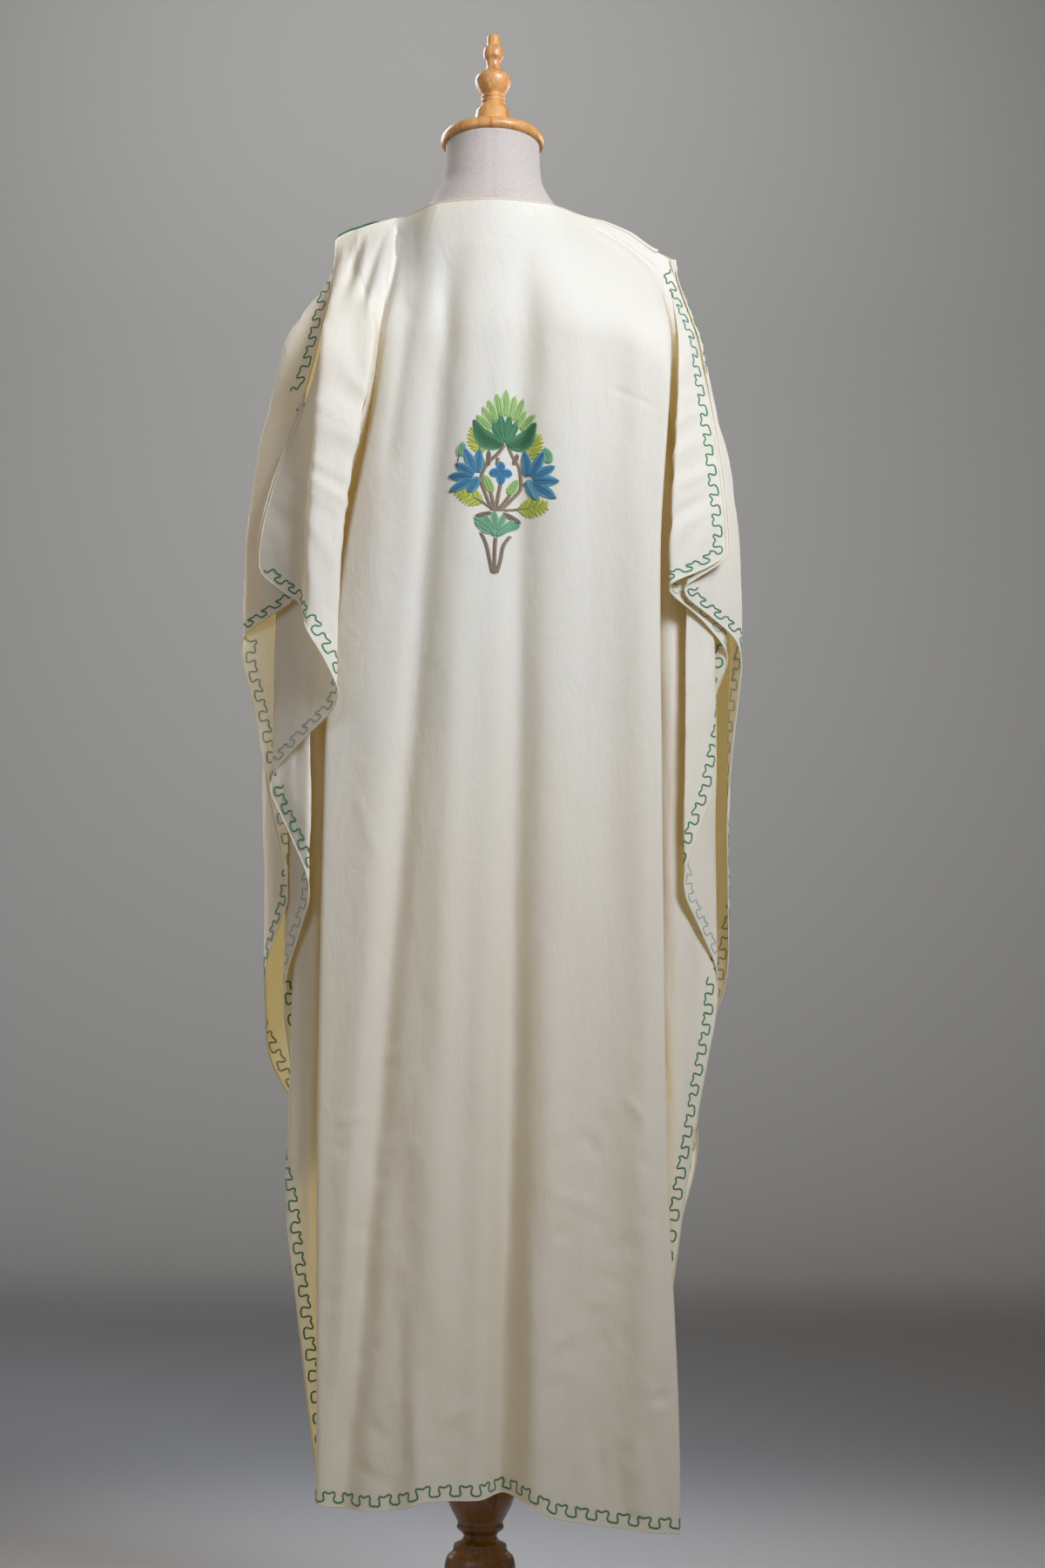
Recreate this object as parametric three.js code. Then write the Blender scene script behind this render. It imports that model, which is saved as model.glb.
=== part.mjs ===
// Embroidered cream kaftan hanging on a limbless dress form with a turned wooden stand.
// Millimetres, +Z up, origin at the centre of the underside of the stand's base.
// The kaftan's back faces -Y. "Out" is the distance from the middle plane, on either side.
import * as THREE from "three";
import { mergeVertices } from "three/addons/utils/BufferGeometryUtils.js";

const WALL = 1.2; // cloth
const SEAM_GAP = 1.3; // half the space between the middles of two cloths that meet
const SEAM_STEP = 2.82; // from the middle of the body's cloth at a side seam to the middle of the wing's
const SEAT_GAP = 0.3; // between turned pieces and what they stand on
const ROUND_SIDES = 28;
const BASE_RADIUS = 165;
const BASE_THICK = 22;
const NECK_TILT = THREE.MathUtils.degToRad(12); // the neck and its cap lean to the front
const BODY_ROWS = 24;
const LIMB_ROUND = 0.11; // where the two rows of points on each side of a fold's crest are
const LIMB_SOFTNESS = 0.22; // how far a fold's round reaches towards the next fold
const WING_FOOT = 206; // lowest row of a wing's points
const LONGEST_ROW_STEP = 62;
const SHORTEST_ROW_STEP = 7;
const ROWS_TO_CORNER = 7; // rows of a wing from the shoulder to the corner of its free edge
const LAST_MEETING = 12; // no row of its own for a column that ends less than this above the foot
const NARROWEST = 0.07; // a column nearer than this to the free edge is left out
const SHOULDER_TURN = 150; // below the ridge of the shoulder the cloth has its full depth
const SHOULDER_PULL = 1.5; // how soon the pull of the side seam dies out across a wing
const BODY_TOP = 1590;
const BODY_LONG = 1385;
const SIDE_SHARE = 0.07; // share of the body's width that is turned in at each side
const EDGE_CALM = 0.14; // share of the width in which the long folds start and end
const TOP_CALM = 0.1; // share of the length in which the long folds start
const FOLD_PEAK = 1.6; // how pointed a long fold is
const HALVINGS = 40;
const STATIONS = [1566, 1440, 1200, 1000, 600, 205]; // heights of the fold tables' columns

// Top of each wing at the shoulder, and how much higher the shoulder is at the wing's seam.
const SHOULDER = { left: { top: 1566, rise: 25 }, right: { top: 1547, rise: 9 } };
// Folds of one hanging wing, from the side seam out to the top edge. free: height at which the
// free edge passes the fold. at: out, y for each height in STATIONS.
const BACK_LEFT = [
  { fold: "seam", free: 0, at: [110, -50, 122, -78, 143, -20, 143, -2, 143, -2, 141, -2] },
  { fold: "recess", free: 232, at: [118, -50, 122, -83, 184, -62, 184, -62, 184, -64, 177, -68] },
  { fold: "tube", free: 508, at: [126, -49, 122, -87, 204, -32, 205, -33, 214, -48, 216, -56] },
  { fold: "tuck", free: 600, at: [134, -46, 122, -91, 198, -10, 198, -12, 200, -24, 200, -30] },
  { fold: "low_out", free: 735, at: [141, -43, 122, -95, 220, -24, 221, -26, 222, -31, 222, -31] },
  { fold: "low_in", free: 852, at: [148, -38, 122, -99, 184, -80, 184, -82, 186, -84, 186, -84] },
  { fold: "mid_out", free: 966, at: [152, -33, 122, -103, 240, -41, 241, -42, 242, -44, 242, -44] },
  { fold: "mid_in", free: 1049, at: [157, -28, 124, -110, 146, -124, 152, -124, 154, -124, 154, -124] },
  { fold: "bright", free: 1122, at: [163, -22, 184, -112, 192, -132, 193, -132, 194, -132, 194, -132] },
  { fold: "valley", free: 1152, at: [168, -14, 172, -78, 197, -104, 198, -104, 198, -104, 198, -104] },
  { fold: "top_edge", free: 1199, at: [172, -1.1, 184, -46, 247, -68, 247, -68, 247, -68, 247, -68] },
];
const FRONT_LEFT = [
  { fold: "seam", free: 0, at: [110, 50, 122, 78, 143, 20, 143, 2, 143, 2, 141, 2] },
  { fold: "recess", free: 240, at: [119, 48, 134, 92, 184, 64, 184, 64, 184, 66, 178, 70] },
  { fold: "tube", free: 450, at: [130, 44, 168, 88, 215, 80, 216, 80, 216, 80, 214, 76] },
  { fold: "valley", free: 600, at: [139, 37, 190, 68, 214, 46, 212, 46, 206, 52, 206, 50] },
  { fold: "side", free: 668, at: [148, 32, 210, 42, 250, 34, 250, 32, 238, 40, 238, 40] },
  { fold: "low_out", free: 768, at: [156, 28, 222, 14, 239, -8, 240, -10, 240, -10, 240, -10] },
  { fold: "low_in", free: 856, at: [161, 23, 226, -4, 210, -50, 210, -51, 210, -51, 210, -51] },
  { fold: "mid_out", free: 1114, at: [166, 17, 228, -22, 275, -18, 276, -18, 276, -18, 276, -18] },
  { fold: "mid_in", free: 1163, at: [170, 10, 198, -33, 201, -88, 200, -88, 200, -88, 200, -88] },
  { fold: "top_edge", free: 1199, at: [172, 1.1, 188.5, -41.5, 249.5, -64.5, 249, -65, 249, -65, 249, -65] },
];
const BACK_RIGHT = [
  { fold: "seam", free: 0, at: [186, -26, 178, -58, 151, -12, 151, -2, 151, -2, 151, -2] },
  { fold: "recess", free: 420, at: [187, -24, 184, -56, 203, -60, 203, -60, 204, -64, 208, -68] },
  { fold: "low_out", free: 747, at: [188, -22, 188, -57, 258, 4, 258, 2, 262, -24, 262, -24] },
  { fold: "low_in", free: 858, at: [189, -20, 191, -58, 209, -68, 210, -70, 211, -72, 211, -72] },
  { fold: "mid_out", free: 966, at: [190, -18, 194, -59, 249, -47, 250, -48, 250, -50, 250, -50] },
  { fold: "tuck", free: 1040, at: [191, -16, 197, -60, 240, -34, 240, -34, 240, -34, 240, -34] },
  { fold: "high_out", free: 1110, at: [192, -13.5, 200, -61, 265, -38, 265, -38, 265, -38, 265, -38] },
  { fold: "high_in", free: 1168, at: [193, -11, 203, -66, 195, -88, 195, -88, 195, -88, 195, -88] },
  { fold: "high_turn", free: 1180, at: [194, -7, 204, -75, 195, -101, 195, -101, 195, -101, 195, -101] },
  { fold: "top_edge", free: 1219, at: [196.5, -1.1, 227, -44, 257, -74, 257, -74, 257, -74, 257, -74] },
];
const FRONT_RIGHT = [
  { fold: "seam", free: 0, at: [186, 26, 178, 58, 151, 12, 151, 2, 151, 2, 151, 2] },
  { fold: "recess", free: 400, at: [188, 24, 200, 63, 204, 64, 204, 64, 204, 66, 206, 70] },
  { fold: "tube", free: 560, at: [190, 21, 210, 72, 240, 80, 240, 80, 240, 80, 236, 76] },
  { fold: "valley", free: 660, at: [192, 18, 222, 50, 238, 46, 236, 46, 232, 50, 232, 50] },
  { fold: "low_out", free: 760, at: [193, 15, 230, 22, 270, 24, 270, 22, 266, 12, 266, 12] },
  { fold: "low_in", free: 940, at: [195, 12, 232, -4, 266, -14, 262, -12, 262, -12, 262, -12] },
  { fold: "mid_out", free: 1114, at: [196, 9, 233, -22, 279, -34, 279, -34, 279, -34, 279, -34] },
  { fold: "mid_in", free: 1172, at: [197, 5, 232, -34, 204, -88, 204, -88, 204, -88, 204, -88] },
  { fold: "top_edge", free: 1219, at: [199, 1.1, 230.5, -42, 260, -71, 260, -71, 260, -71, 260, -71] },
];

// Body tube between the side seams: out, y for each height in STATIONS, from seam to edge fold.
const BODY_LEFT = {
  seam: [108, -52, 120, -80, 140, -21, 140, -2.2, 140, -2.2, 138, -2.2],
  recess: [106, -53, 117, -84, 152, -54, 162, -56, 166, -58, 162, -58],
  edge: [102, -56, 112, -90, 158, -82, 176, -86, 179, -94, 176, -102],
};
const BODY_RIGHT = {
  seam: [183, -26, 174, -60, 147, -13, 147, -2.2, 147, -2.2, 147, -2.2],
  recess: [181, -27, 187, -80, 176, -58, 176, -58, 180, -60, 190, -62],
  edge: [178, -29, 197, -102, 187, -108, 190, -109, 198, -112, 215, -116],
};
// The top of the body, from the left wing to the right: across, height at the back, height at the
// front and how far the back and front edges stand from the middle plane.
const TOP = [
  { across: -107, back: 1591, front: 1591, y_back: 1.3, y_front: 1.3 },
  { across: -60, back: 1598, front: 1560, y_back: 50, y_front: 60 },
  { across: 0, back: 1600, front: 1536, y_back: 66, y_front: 82 },
  { across: 60, back: 1598, front: 1558, y_back: 50, y_front: 60 },
  { across: 112, back: 1592, front: 1592, y_back: 1.3, y_front: 1.3 },
  { across: 150, back: 1577, front: 1577, y_back: 1.3, y_front: 1.3 },
  { across: 186, back: 1556, front: 1556, y_back: 1.3, y_front: 1.3 },
];
// Lower edge of the back: across, height.
const HEM = [
  { across: -177, back: 199, front: 203 },
  { across: -120, back: 195, front: 207 },
  { across: -72, back: 201, front: 201 },
  { across: -60, back: 207, front: 199 },
  { across: 0, back: 208, front: 205 },
  { across: 50, back: 215, front: 211 },
  { across: 92, back: 192, front: 204 },
  { across: 140, back: 180, front: 198 },
  { across: 216, back: 175, front: 196 },
];
// How squarely the body's section swells from its left and its right edge.
const BULGE = { left: 1.8, right: 2.6 };
// How far the middle of the body stands back, and forward, at each height.
const DEPTHS = [
  { z: 1600, back: 76, front: 80 },
  { z: 1540, back: 104, front: 104 },
  { z: 1440, back: 116, front: 122 },
  { z: 1320, back: 116, front: 134 },
  { z: 1100, back: 114, front: 128 },
  { z: 700, back: 116, front: 124 },
  { z: 200, back: 120, front: 124 },
];
// Long folds of the body: where they start under the shoulder and where they reach the hem,
// half width, and rise (+) or fall (-) at the top, the middle and the hem.
const BACK_FOLDS = [
  { from: -104, to: -142, half: 24, top: 2, mid: 3, hem: 5 },
  { from: -36, to: -120, half: 19, top: -6, mid: -10, hem: -9 },
  { from: -6, to: -40, half: 30, top: 4, mid: 9, hem: 10 },
  { from: 46, to: 54, half: 19, top: -5, mid: -14, hem: -32 },
  { from: 84, to: 82, half: 26, top: 2, mid: 7, hem: 12 },
  { from: 128, to: 140, half: 26, top: -2, mid: -3, hem: -4 },
  { from: 160, to: 176, half: 24, top: 0, mid: 3, hem: 6 },
];
const FRONT_FOLDS = [
  { from: -108, to: -132, half: 26, top: 2, mid: 5, hem: 9 },
  { from: -70, to: -84, half: 20, top: -3, mid: -8, hem: -18 },
  { from: -36, to: -40, half: 24, top: 2, mid: 6, hem: 8 },
  { from: 6, to: 10, half: 22, top: -2, mid: -5, hem: -9 },
  { from: 44, to: 52, half: 26, top: 2, mid: 7, hem: 9 },
  { from: 84, to: 98, half: 20, top: -3, mid: -10, hem: -22 },
  { from: 124, to: 146, half: 28, top: 2, mid: 6, hem: 10 },
];

// Sections of the form: height, half width, half depth, how far forward its middle is.
const FORM = [
  { z: 1004, wide: 120, deep: 84, y: 0, square: 2.3 },
  { z: 1010, wide: 128, deep: 90, y: 0, square: 2.3 },
  { z: 1080, wide: 132, deep: 92, y: 0, square: 2.3 },
  { z: 1180, wide: 118, deep: 86, y: 4, square: 2.3 },
  { z: 1270, wide: 112, deep: 84, y: 6, square: 2.3 },
  { z: 1340, wide: 114, deep: 96, y: 8, square: 2.3 },
  { z: 1420, wide: 114, deep: 98, y: 4, square: 2.2 },
  { z: 1470, wide: 124, deep: 86, y: 0, square: 1.9 },
  { z: 1510, wide: 144, deep: 76, y: -2, square: 1.5 },
  { z: 1535, wide: 148.6, deep: 66.4, y: -2.6, square: 1.3 },
  { z: 1552, wide: 140.4, deep: 60.2, y: -2.6, square: 1.25 },
  { z: 1570, wide: 118.4, deep: 56, y: -2.4, square: 1.3 },
  { z: 1586, wide: 94, deep: 52, y: 0, square: 1.6 },
  { z: 1600, wide: 76, deep: 52, y: 3, square: 2 },
  { z: 1614, wide: 65, deep: 54, y: 7, square: 2 },
  { z: 1636, wide: 54.5, deep: 53, y: 12, square: 2 },
  { z: 1675, wide: 52, deep: 51, y: 19, square: 2 },
];
const FORM_SIDES = 32;
const NECK_BEND = 1600; // from this height up the sections tilt, until they have the neck's whole lean

// Turned profiles: radius, height.
const STEM = [
  [0, BASE_THICK + SEAT_GAP], [42, BASE_THICK + SEAT_GAP], [44, 28], [34, 36], [25, 44], [27, 60], [33, 84],
  [38, 104], [38.5, 120], [36, 132], [29, 140], [28.5, 145], [20, 150], [18, 154], [20, 158], [24, 161],
  [25.5, 164], [24.5, 168], [28, 176], [34, 188], [36.5, 198], [35, 210], [27, 226], [21, 240],
  [19, 262], [17.5, 420], [17, 1003.4], [0, 1003.4],
];
const BASE = [[0, 0], [158, 0], [BASE_RADIUS, 5], [BASE_RADIUS, 14], [158, BASE_THICK], [0, BASE_THICK]];
const CAP_THICK = 13.5;
const CAP = [[0, 0], [53, 0], [56, 2], [57.3, 6], [56.4, 10], [53.5, 12.7], [48, CAP_THICK], [0, CAP_THICK]];
const FINIAL = [
  [0, 0], [24, 0], [25, 3], [22, 9], [20.5, 15], [19.5, 23], [18.6, 29], [15.6, 33], [13.8, 36], [12.6, 38],
  [13.8, 40], [12.6, 42.5], [13.8, 45], [12.4, 47.5], [15.2, 52], [19, 60], [20.2, 66], [18.6, 71], [13.4, 75],
  [9.6, 78], [7.4, 84], [8.2, 90], [11, 95], [11.4, 101], [10, 106], [7.6, 109.5], [7.4, 119.5], [5.8, 122],
  [0, 122],
];

// Smooth, never overshooting curve through the points (xs rising or falling).
function through(xs, ys, x) {
  const n = xs.length;
  const down = xs[0] > xs[n - 1];
  const at = (i) => (down ? n - 1 - i : i);
  const X = (i) => xs[at(i)];
  const Y = (i) => ys[at(i)];
  if (x <= X(0)) return Y(0);
  if (x >= X(n - 1)) return Y(n - 1);
  let i = 0;
  while (x > X(i + 1)) i++;
  const rise = (k) => (Y(k + 1) - Y(k)) / (X(k + 1) - X(k));
  const slope = (k) => {
    if (k === 0 || k === n - 1) return 0;
    const a = rise(k - 1);
    const b = rise(k);
    return a * b <= 0 ? 0 : (2 * a * b) / (a + b);
  };
  const w = X(i + 1) - X(i);
  const t = (x - X(i)) / w;
  const s = t * t;
  return (
    Y(i) * (1 + 2 * t) * (1 - t) ** 2 + Y(i + 1) * s * (3 - 2 * t) +
    slope(i) * w * t * (1 - t) ** 2 + slope(i + 1) * w * s * (t - 1)
  );
}
const column = (rows, name) => rows.map((r) => r[name]);
const soft = (t) => (t <= 0 ? 0 : t >= 1 ? 1 : t * t * (3 - 2 * t));
const pair = (at, z) => [
  through(STATIONS, at.filter((_, i) => i % 2 === 0), z),
  through(STATIONS, at.filter((_, i) => i % 2 === 1), z),
];

// A cloth wing. across: 0 at the seam, 1, 2, ... at the following folds.
function wingPoint(wing, across, z, drop) {
  const { folds, side } = wing;
  const k = Math.min(folds.length - 1, Math.max(0, Math.round(across)));
  const limb = (i) => pair(folds[i].at, z);
  const mix = (a, b, t) => [a[0] + (b[0] - a[0]) * t, a[1] + (b[1] - a[1]) * t];
  const last = folds.length - 1;
  let p;
  const off = across - k;
  if (k > 0 && k < last && Math.abs(off) < LIMB_SOFTNESS) {
    const before = mix(limb(k), limb(k - 1), LIMB_SOFTNESS);
    const after = mix(limb(k), limb(k + 1), LIMB_SOFTNESS);
    const t = (off + LIMB_SOFTNESS) / (2 * LIMB_SOFTNESS);
    p = mix(mix(before, limb(k), t), mix(limb(k), after, t), t);
  } else {
    const i = Math.min(last - 1, Math.floor(across));
    p = mix(limb(i), limb(i + 1), across - i);
  }
  const seam = bodySeam(wing, z);
  const pull = Math.max(0, 1 - across / (last - 1)) ** SHOULDER_PULL;
  const round = shoulderRound(drop);
  const flat = (y) => Math.sign(y) * (SEAM_GAP + (Math.abs(y) - SEAM_GAP) * round);
  const from = limb(0);
  const y = flat(p[1]) + (seam.y - flat(from[1])) * pull;
  return new THREE.Vector3(side * (p[0] + (seam.out + SEAM_STEP - from[0]) * pull), y, z);
}
// How far the cloth has left the ridge of the shoulder, that much below it.
const shoulderRound = (drop) => soft(Math.sqrt(Math.min(1, Math.max(0, drop) / SHOULDER_TURN)));
// The side seam of the body at height z.
function bodySeam(wing, z) {
  const u = wing.side < 0 ? 0 : 1;
  let [high, low] = [0, 1];
  for (let i = 0; i < HALVINGS; i++) {
    const m = (high + low) / 2;
    if (bodyPoint(wing.face, u, m).z > z) high = m;
    else low = m;
  }
  const p = bodyPoint(wing.face, u, (high + low) / 2);
  return { out: Math.abs(p.x), y: p.y };
}
// Where the free edge is at height z.
function freeEdge(folds, z) {
  return through(column(folds, "free"), folds.map((_, i) => i), z);
}
function wingRows(wing) {
  const { folds, side } = wing;
  const { top, rise } = SHOULDER[side < 0 ? "left" : "right"];
  const last = folds.length - 1;
  const columns = [0];
  for (let k = 1; k < last; k++) columns.push(k - LIMB_ROUND, k + LIMB_ROUND);
  columns.push(last);
  const corner = folds[last].free;
  const heights = [];
  for (let i = 0; i <= ROWS_TO_CORNER; i++) heights.push(top + (corner - top) * (i / ROWS_TO_CORNER));
  // The free edge meets a column of points at each row below the corner.
  const meets = columns.slice(1, -1).reverse().map((c) => {
    let [a, b] = [corner, WING_FOOT];
    for (let i = 0; i < HALVINGS; i++) {
      const m = (a + b) / 2;
      if (freeEdge(folds, m) > c) a = m;
      else b = m;
    }
    return (a + b) / 2;
  });
  for (const m of [...meets.filter((z) => z > WING_FOOT + LAST_MEETING), WING_FOOT]) {
    const from = heights[heights.length - 1];
    if (from - m < SHORTEST_ROW_STEP) continue;
    const steps = Math.ceil((from - m) / LONGEST_ROW_STEP);
    for (let i = 1; i <= steps; i++) heights.push(from + (m - from) * (i / steps));
  }
  return heights.map((z) => {
    const end = z >= corner ? last : Math.max(1, freeEdge(folds, z));
    const kept = columns.filter((c) => c < end - NARROWEST);
    return [...kept, end].map((c) => {
      const climb = rise * (1 - c / end) * soft((z - STATIONS[1]) / (top - STATIONS[1]));
      return wingPoint(wing, c, z + climb, top - z);
    });
  });
}

// The body's cloth. u runs from the left seam (0) to the right seam (1), t from the top to the hem.
function bodyPoint(face, u, t) {
  const back = face === "back";
  const name = back ? "back" : "front";
  const sign = back ? -1 : 1;
  const folds = back ? BACK_FOLDS : FRONT_FOLDS;
  let z = BODY_TOP - BODY_LONG * t;
  let x = 0;
  let y = 0;
  for (let pass = 0; pass < 3; pass++) {
    const [left, right] = [pair(BODY_LEFT.edge, z), pair(BODY_RIGHT.edge, z)];
    if (u < SIDE_SHARE || u > 1 - SIDE_SHARE) {
      const limits = u < SIDE_SHARE ? BODY_LEFT : BODY_RIGHT;
      const s = 1 - (u < SIDE_SHARE ? u : 1 - u) / SIDE_SHARE;
      const [e, r, m] = [pair(limits.edge, z), pair(limits.recess, z), pair(limits.seam, z)];
      const q = s < 0.5 ? [e, r, s * 2] : [r, m, s * 2 - 1];
      x = (u < SIDE_SHARE ? -1 : 1) * (q[0][0] + (q[1][0] - q[0][0]) * q[2]);
      y = sign * -(q[0][1] + (q[1][1] - q[0][1]) * q[2]);
    } else {
      const c = (u - SIDE_SHARE) / (1 - 2 * SIDE_SHARE);
      x = -left[0] + (left[0] + right[0]) * c;
      const edgeDepth = -(left[1] * (1 - c) + right[1] * c);
      const middle = through(column(DEPTHS, "z"), column(DEPTHS, name), z);
      const bulge = 1 - Math.abs(2 * c - 1) ** (c < 0.5 ? BULGE.left : BULGE.right);
      let depth = edgeDepth + (middle - edgeDepth) * bulge;
      for (const f of folds) {
        const at = f.from + (f.to - f.from) * t;
        const rise = t < 0.5 ? f.top + (f.mid - f.top) * t * 2 : f.mid + (f.hem - f.mid) * (t * 2 - 1);
        const d = (x - at) / f.half;
        const fade = soft((1 - Math.abs(2 * c - 1)) / EDGE_CALM) * soft(t / TOP_CALM);
        depth += rise * Math.exp(-d * d * FOLD_PEAK) * fade;
      }
      y = sign * depth;
    }
    const top = through(column(TOP, "across"), column(TOP, name), x);
    const hem = through(column(HEM, "across"), column(HEM, name), x);
    z = top + (hem - top) * t;
  }
  const start = through(column(TOP, "across"), column(TOP, back ? "y_back" : "y_front"), x);
  const fromTop = through(column(TOP, "across"), column(TOP, name), x) - z;
  y = sign * (start + (Math.abs(y) - start) * shoulderRound(fromTop));
  return new THREE.Vector3(x, y, z);
}
function bodyRows(face) {
  const columns = [0, 0.035, 0.056, SIDE_SHARE, 0.084];
  const middle = 17;
  for (let i = 1; i < middle; i++) columns.push(0.1 + 0.8 * (i / middle));
  columns.push(1 - 0.084, 1 - SIDE_SHARE, 1 - 0.056, 1 - 0.035, 1);
  const rows = [];
  for (let j = 0; j <= BODY_ROWS; j++) {
    const t = j / BODY_ROWS;
    rows.push(columns.map((u) => bodyPoint(face, u, 0.35 * t + 0.65 * t * t * (1.6 - 0.6 * t))));
  }
  return rows;
}

// A closed wall round a sheet whose rows may lose points at their ends. out: which way is outside.
function wall(rows, flip) {
  const points = rows.flat();
  const first = [];
  rows.reduce((n, r) => (first.push(n), n + r.length), 0);
  const faces = [];
  for (let j = 0; j + 1 < rows.length; j++) {
    const shared = Math.min(rows[j].length, rows[j + 1].length) - 1;
    for (let i = 0; i < shared; i++) {
      const [a, b, c, d] = [first[j] + i, first[j] + i + 1, first[j + 1] + i, first[j + 1] + i + 1];
      faces.push([a, c, b], [b, c, d]);
    }
    for (let i = shared; i + 1 < rows[j].length; i++)
      faces.push([first[j] + i, first[j + 1] + shared, first[j] + i + 1]);
    for (let i = shared; i + 1 < rows[j + 1].length; i++)
      faces.push([first[j] + shared, first[j + 1] + i, first[j + 1] + i + 1]);
  }
  const normals = points.map(() => new THREE.Vector3());
  const edges = new Map();
  for (const f of faces) {
    if (flip) f.reverse();
    const [a, b, c] = f.map((i) => points[i]);
    const n = new THREE.Vector3().crossVectors(b.clone().sub(a), c.clone().sub(a));
    for (const i of f) normals[i].add(n);
    for (let i = 0; i < 3; i++) edges.set(f[i] + "," + f[(i + 1) % 3], f);
  }
  const n = points.length;
  const all = [];
  for (const side of [1, -1])
    points.forEach((p, i) => {
      all.push(p.clone().addScaledVector(normals[i].clone().normalize(), (side * WALL) / 2));
    });
  const closed = [];
  for (const [a, b, c] of faces) closed.push([a, b, c], [a + n, c + n, b + n]);
  for (const key of edges.keys()) {
    const [a, b] = key.split(",").map(Number);
    if (!edges.has(b + "," + a)) closed.push([b, a, a + n], [b, a + n, b + n]);
  }
  return solid(all, closed);
}
function solid(points, faces) {
  const g = new THREE.BufferGeometry();
  const numbers = new Float32Array(points.flatMap((p) => p.toArray()));
  g.setAttribute("position", new THREE.BufferAttribute(numbers, 3));
  g.setIndex(faces.flat());
  g.computeVertexNormals();
  return g;
}

function lathe(profile, sides) {
  const g = new THREE.LatheGeometry(profile.map(([r, z]) => new THREE.Vector2(r, z)), sides);
  g.rotateX(Math.PI / 2);
  g.deleteAttribute("uv");
  g.deleteAttribute("normal");
  return mergeVertices(g, 1e-3);
}

const neckTop = FORM[FORM.length - 1];
function formSolid() {
  const points = [];
  const faces = [];
  for (const s of FORM) {
    for (let i = 0; i < FORM_SIDES; i++) {
      const a = (i / FORM_SIDES) * 2 * Math.PI;
      const [c, d] = [Math.cos(a), Math.sin(a)];
      const across = s.wide * Math.sign(c) * Math.abs(c) ** (2 / s.square);
      const along = s.deep * Math.sign(d) * Math.abs(d) ** (2 / s.square);
      const bent = Math.max(0, s.z - NECK_BEND) / (neckTop.z - NECK_BEND);
      const lean = -Math.tan(NECK_TILT) * bent * along;
      points.push(new THREE.Vector3(across, s.y + along, s.z + lean));
    }
  }
  const rings = FORM.length;
  for (let j = 0; j + 1 < rings; j++)
    for (let i = 0; i < FORM_SIDES; i++) {
      const [a, b] = [j * FORM_SIDES + i, j * FORM_SIDES + ((i + 1) % FORM_SIDES)];
      faces.push([a, b, b + FORM_SIDES], [a, b + FORM_SIDES, a + FORM_SIDES]);
    }
  const low = points.push(new THREE.Vector3(0, FORM[0].y, FORM[0].z)) - 1;
  const high = points.push(new THREE.Vector3(0, FORM[rings - 1].y, FORM[rings - 1].z)) - 1;
  for (let i = 0; i < FORM_SIDES; i++) {
    const k = (i + 1) % FORM_SIDES;
    faces.push([low, k, i], [high, (rings - 1) * FORM_SIDES + i, (rings - 1) * FORM_SIDES + k]);
  }
  return solid(points, faces);
}

const LOOKS = {
  cloth: new THREE.MeshStandardMaterial({ color: 0xd9d4c6, roughness: 0.85, metalness: 0 }),
  linen: new THREE.MeshStandardMaterial({ color: 0xc4bdb4, roughness: 0.9, metalness: 0 }),
  honey: new THREE.MeshStandardMaterial({ color: 0xbe8240, roughness: 0.35, metalness: 0 }),
  walnut: new THREE.MeshStandardMaterial({ color: 0x3c2010, roughness: 0.35, metalness: 0 }),
};
const part = new THREE.Group();
function add(name, geometry, look) {
  const mesh = new THREE.Mesh(geometry, LOOKS[look]);
  mesh.name = name;
  part.add(mesh);
  return mesh;
}

add("stand_base", lathe(BASE, 40), "walnut");
add("stand_stem", lathe(STEM, ROUND_SIDES), "walnut");
add("dress_form", formSolid(), "linen");
const turned = [
  { name: "neck_cap", profile: CAP, lift: SEAT_GAP, sides: 32 },
  { name: "finial", profile: FINIAL, lift: CAP_THICK + 2 * SEAT_GAP, sides: 20 },
];
for (const { name, profile, lift, sides } of turned) {
  const mesh = add(name, lathe(profile, sides), "honey");
  mesh.rotation.x = -NECK_TILT;
  mesh.position.set(0, neckTop.y + lift * Math.sin(NECK_TILT), neckTop.z + lift * Math.cos(NECK_TILT));
}

add("back_panel", wall(bodyRows("back"), false), "cloth");
add("front_panel", wall(bodyRows("front"), true), "cloth");
add("back_wing_left", wall(wingRows({ face: "back", folds: BACK_LEFT, side: -1 }), true), "cloth");
add("back_wing_right", wall(wingRows({ face: "back", folds: BACK_RIGHT, side: 1 }), false), "cloth");
add("front_wing_left", wall(wingRows({ face: "front", folds: FRONT_LEFT, side: -1 }), false), "cloth");
add("front_wing_right", wall(wingRows({ face: "front", folds: FRONT_RIGHT, side: 1 }), true), "cloth");

export default part;
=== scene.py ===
"""Embroidered cream kaftan hanging on a limbless dress form, seen from behind.

Lengths are millimetres, and MM turns them into metres when a mesh is made. Only the studio, its
lights and the camera are in metres. The kaftan's back faces -Y and the camera. "Out" is the
distance from the middle plane, on either side.
"""
import math
import bpy
import numpy as np
from mathutils import Matrix, Vector


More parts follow.
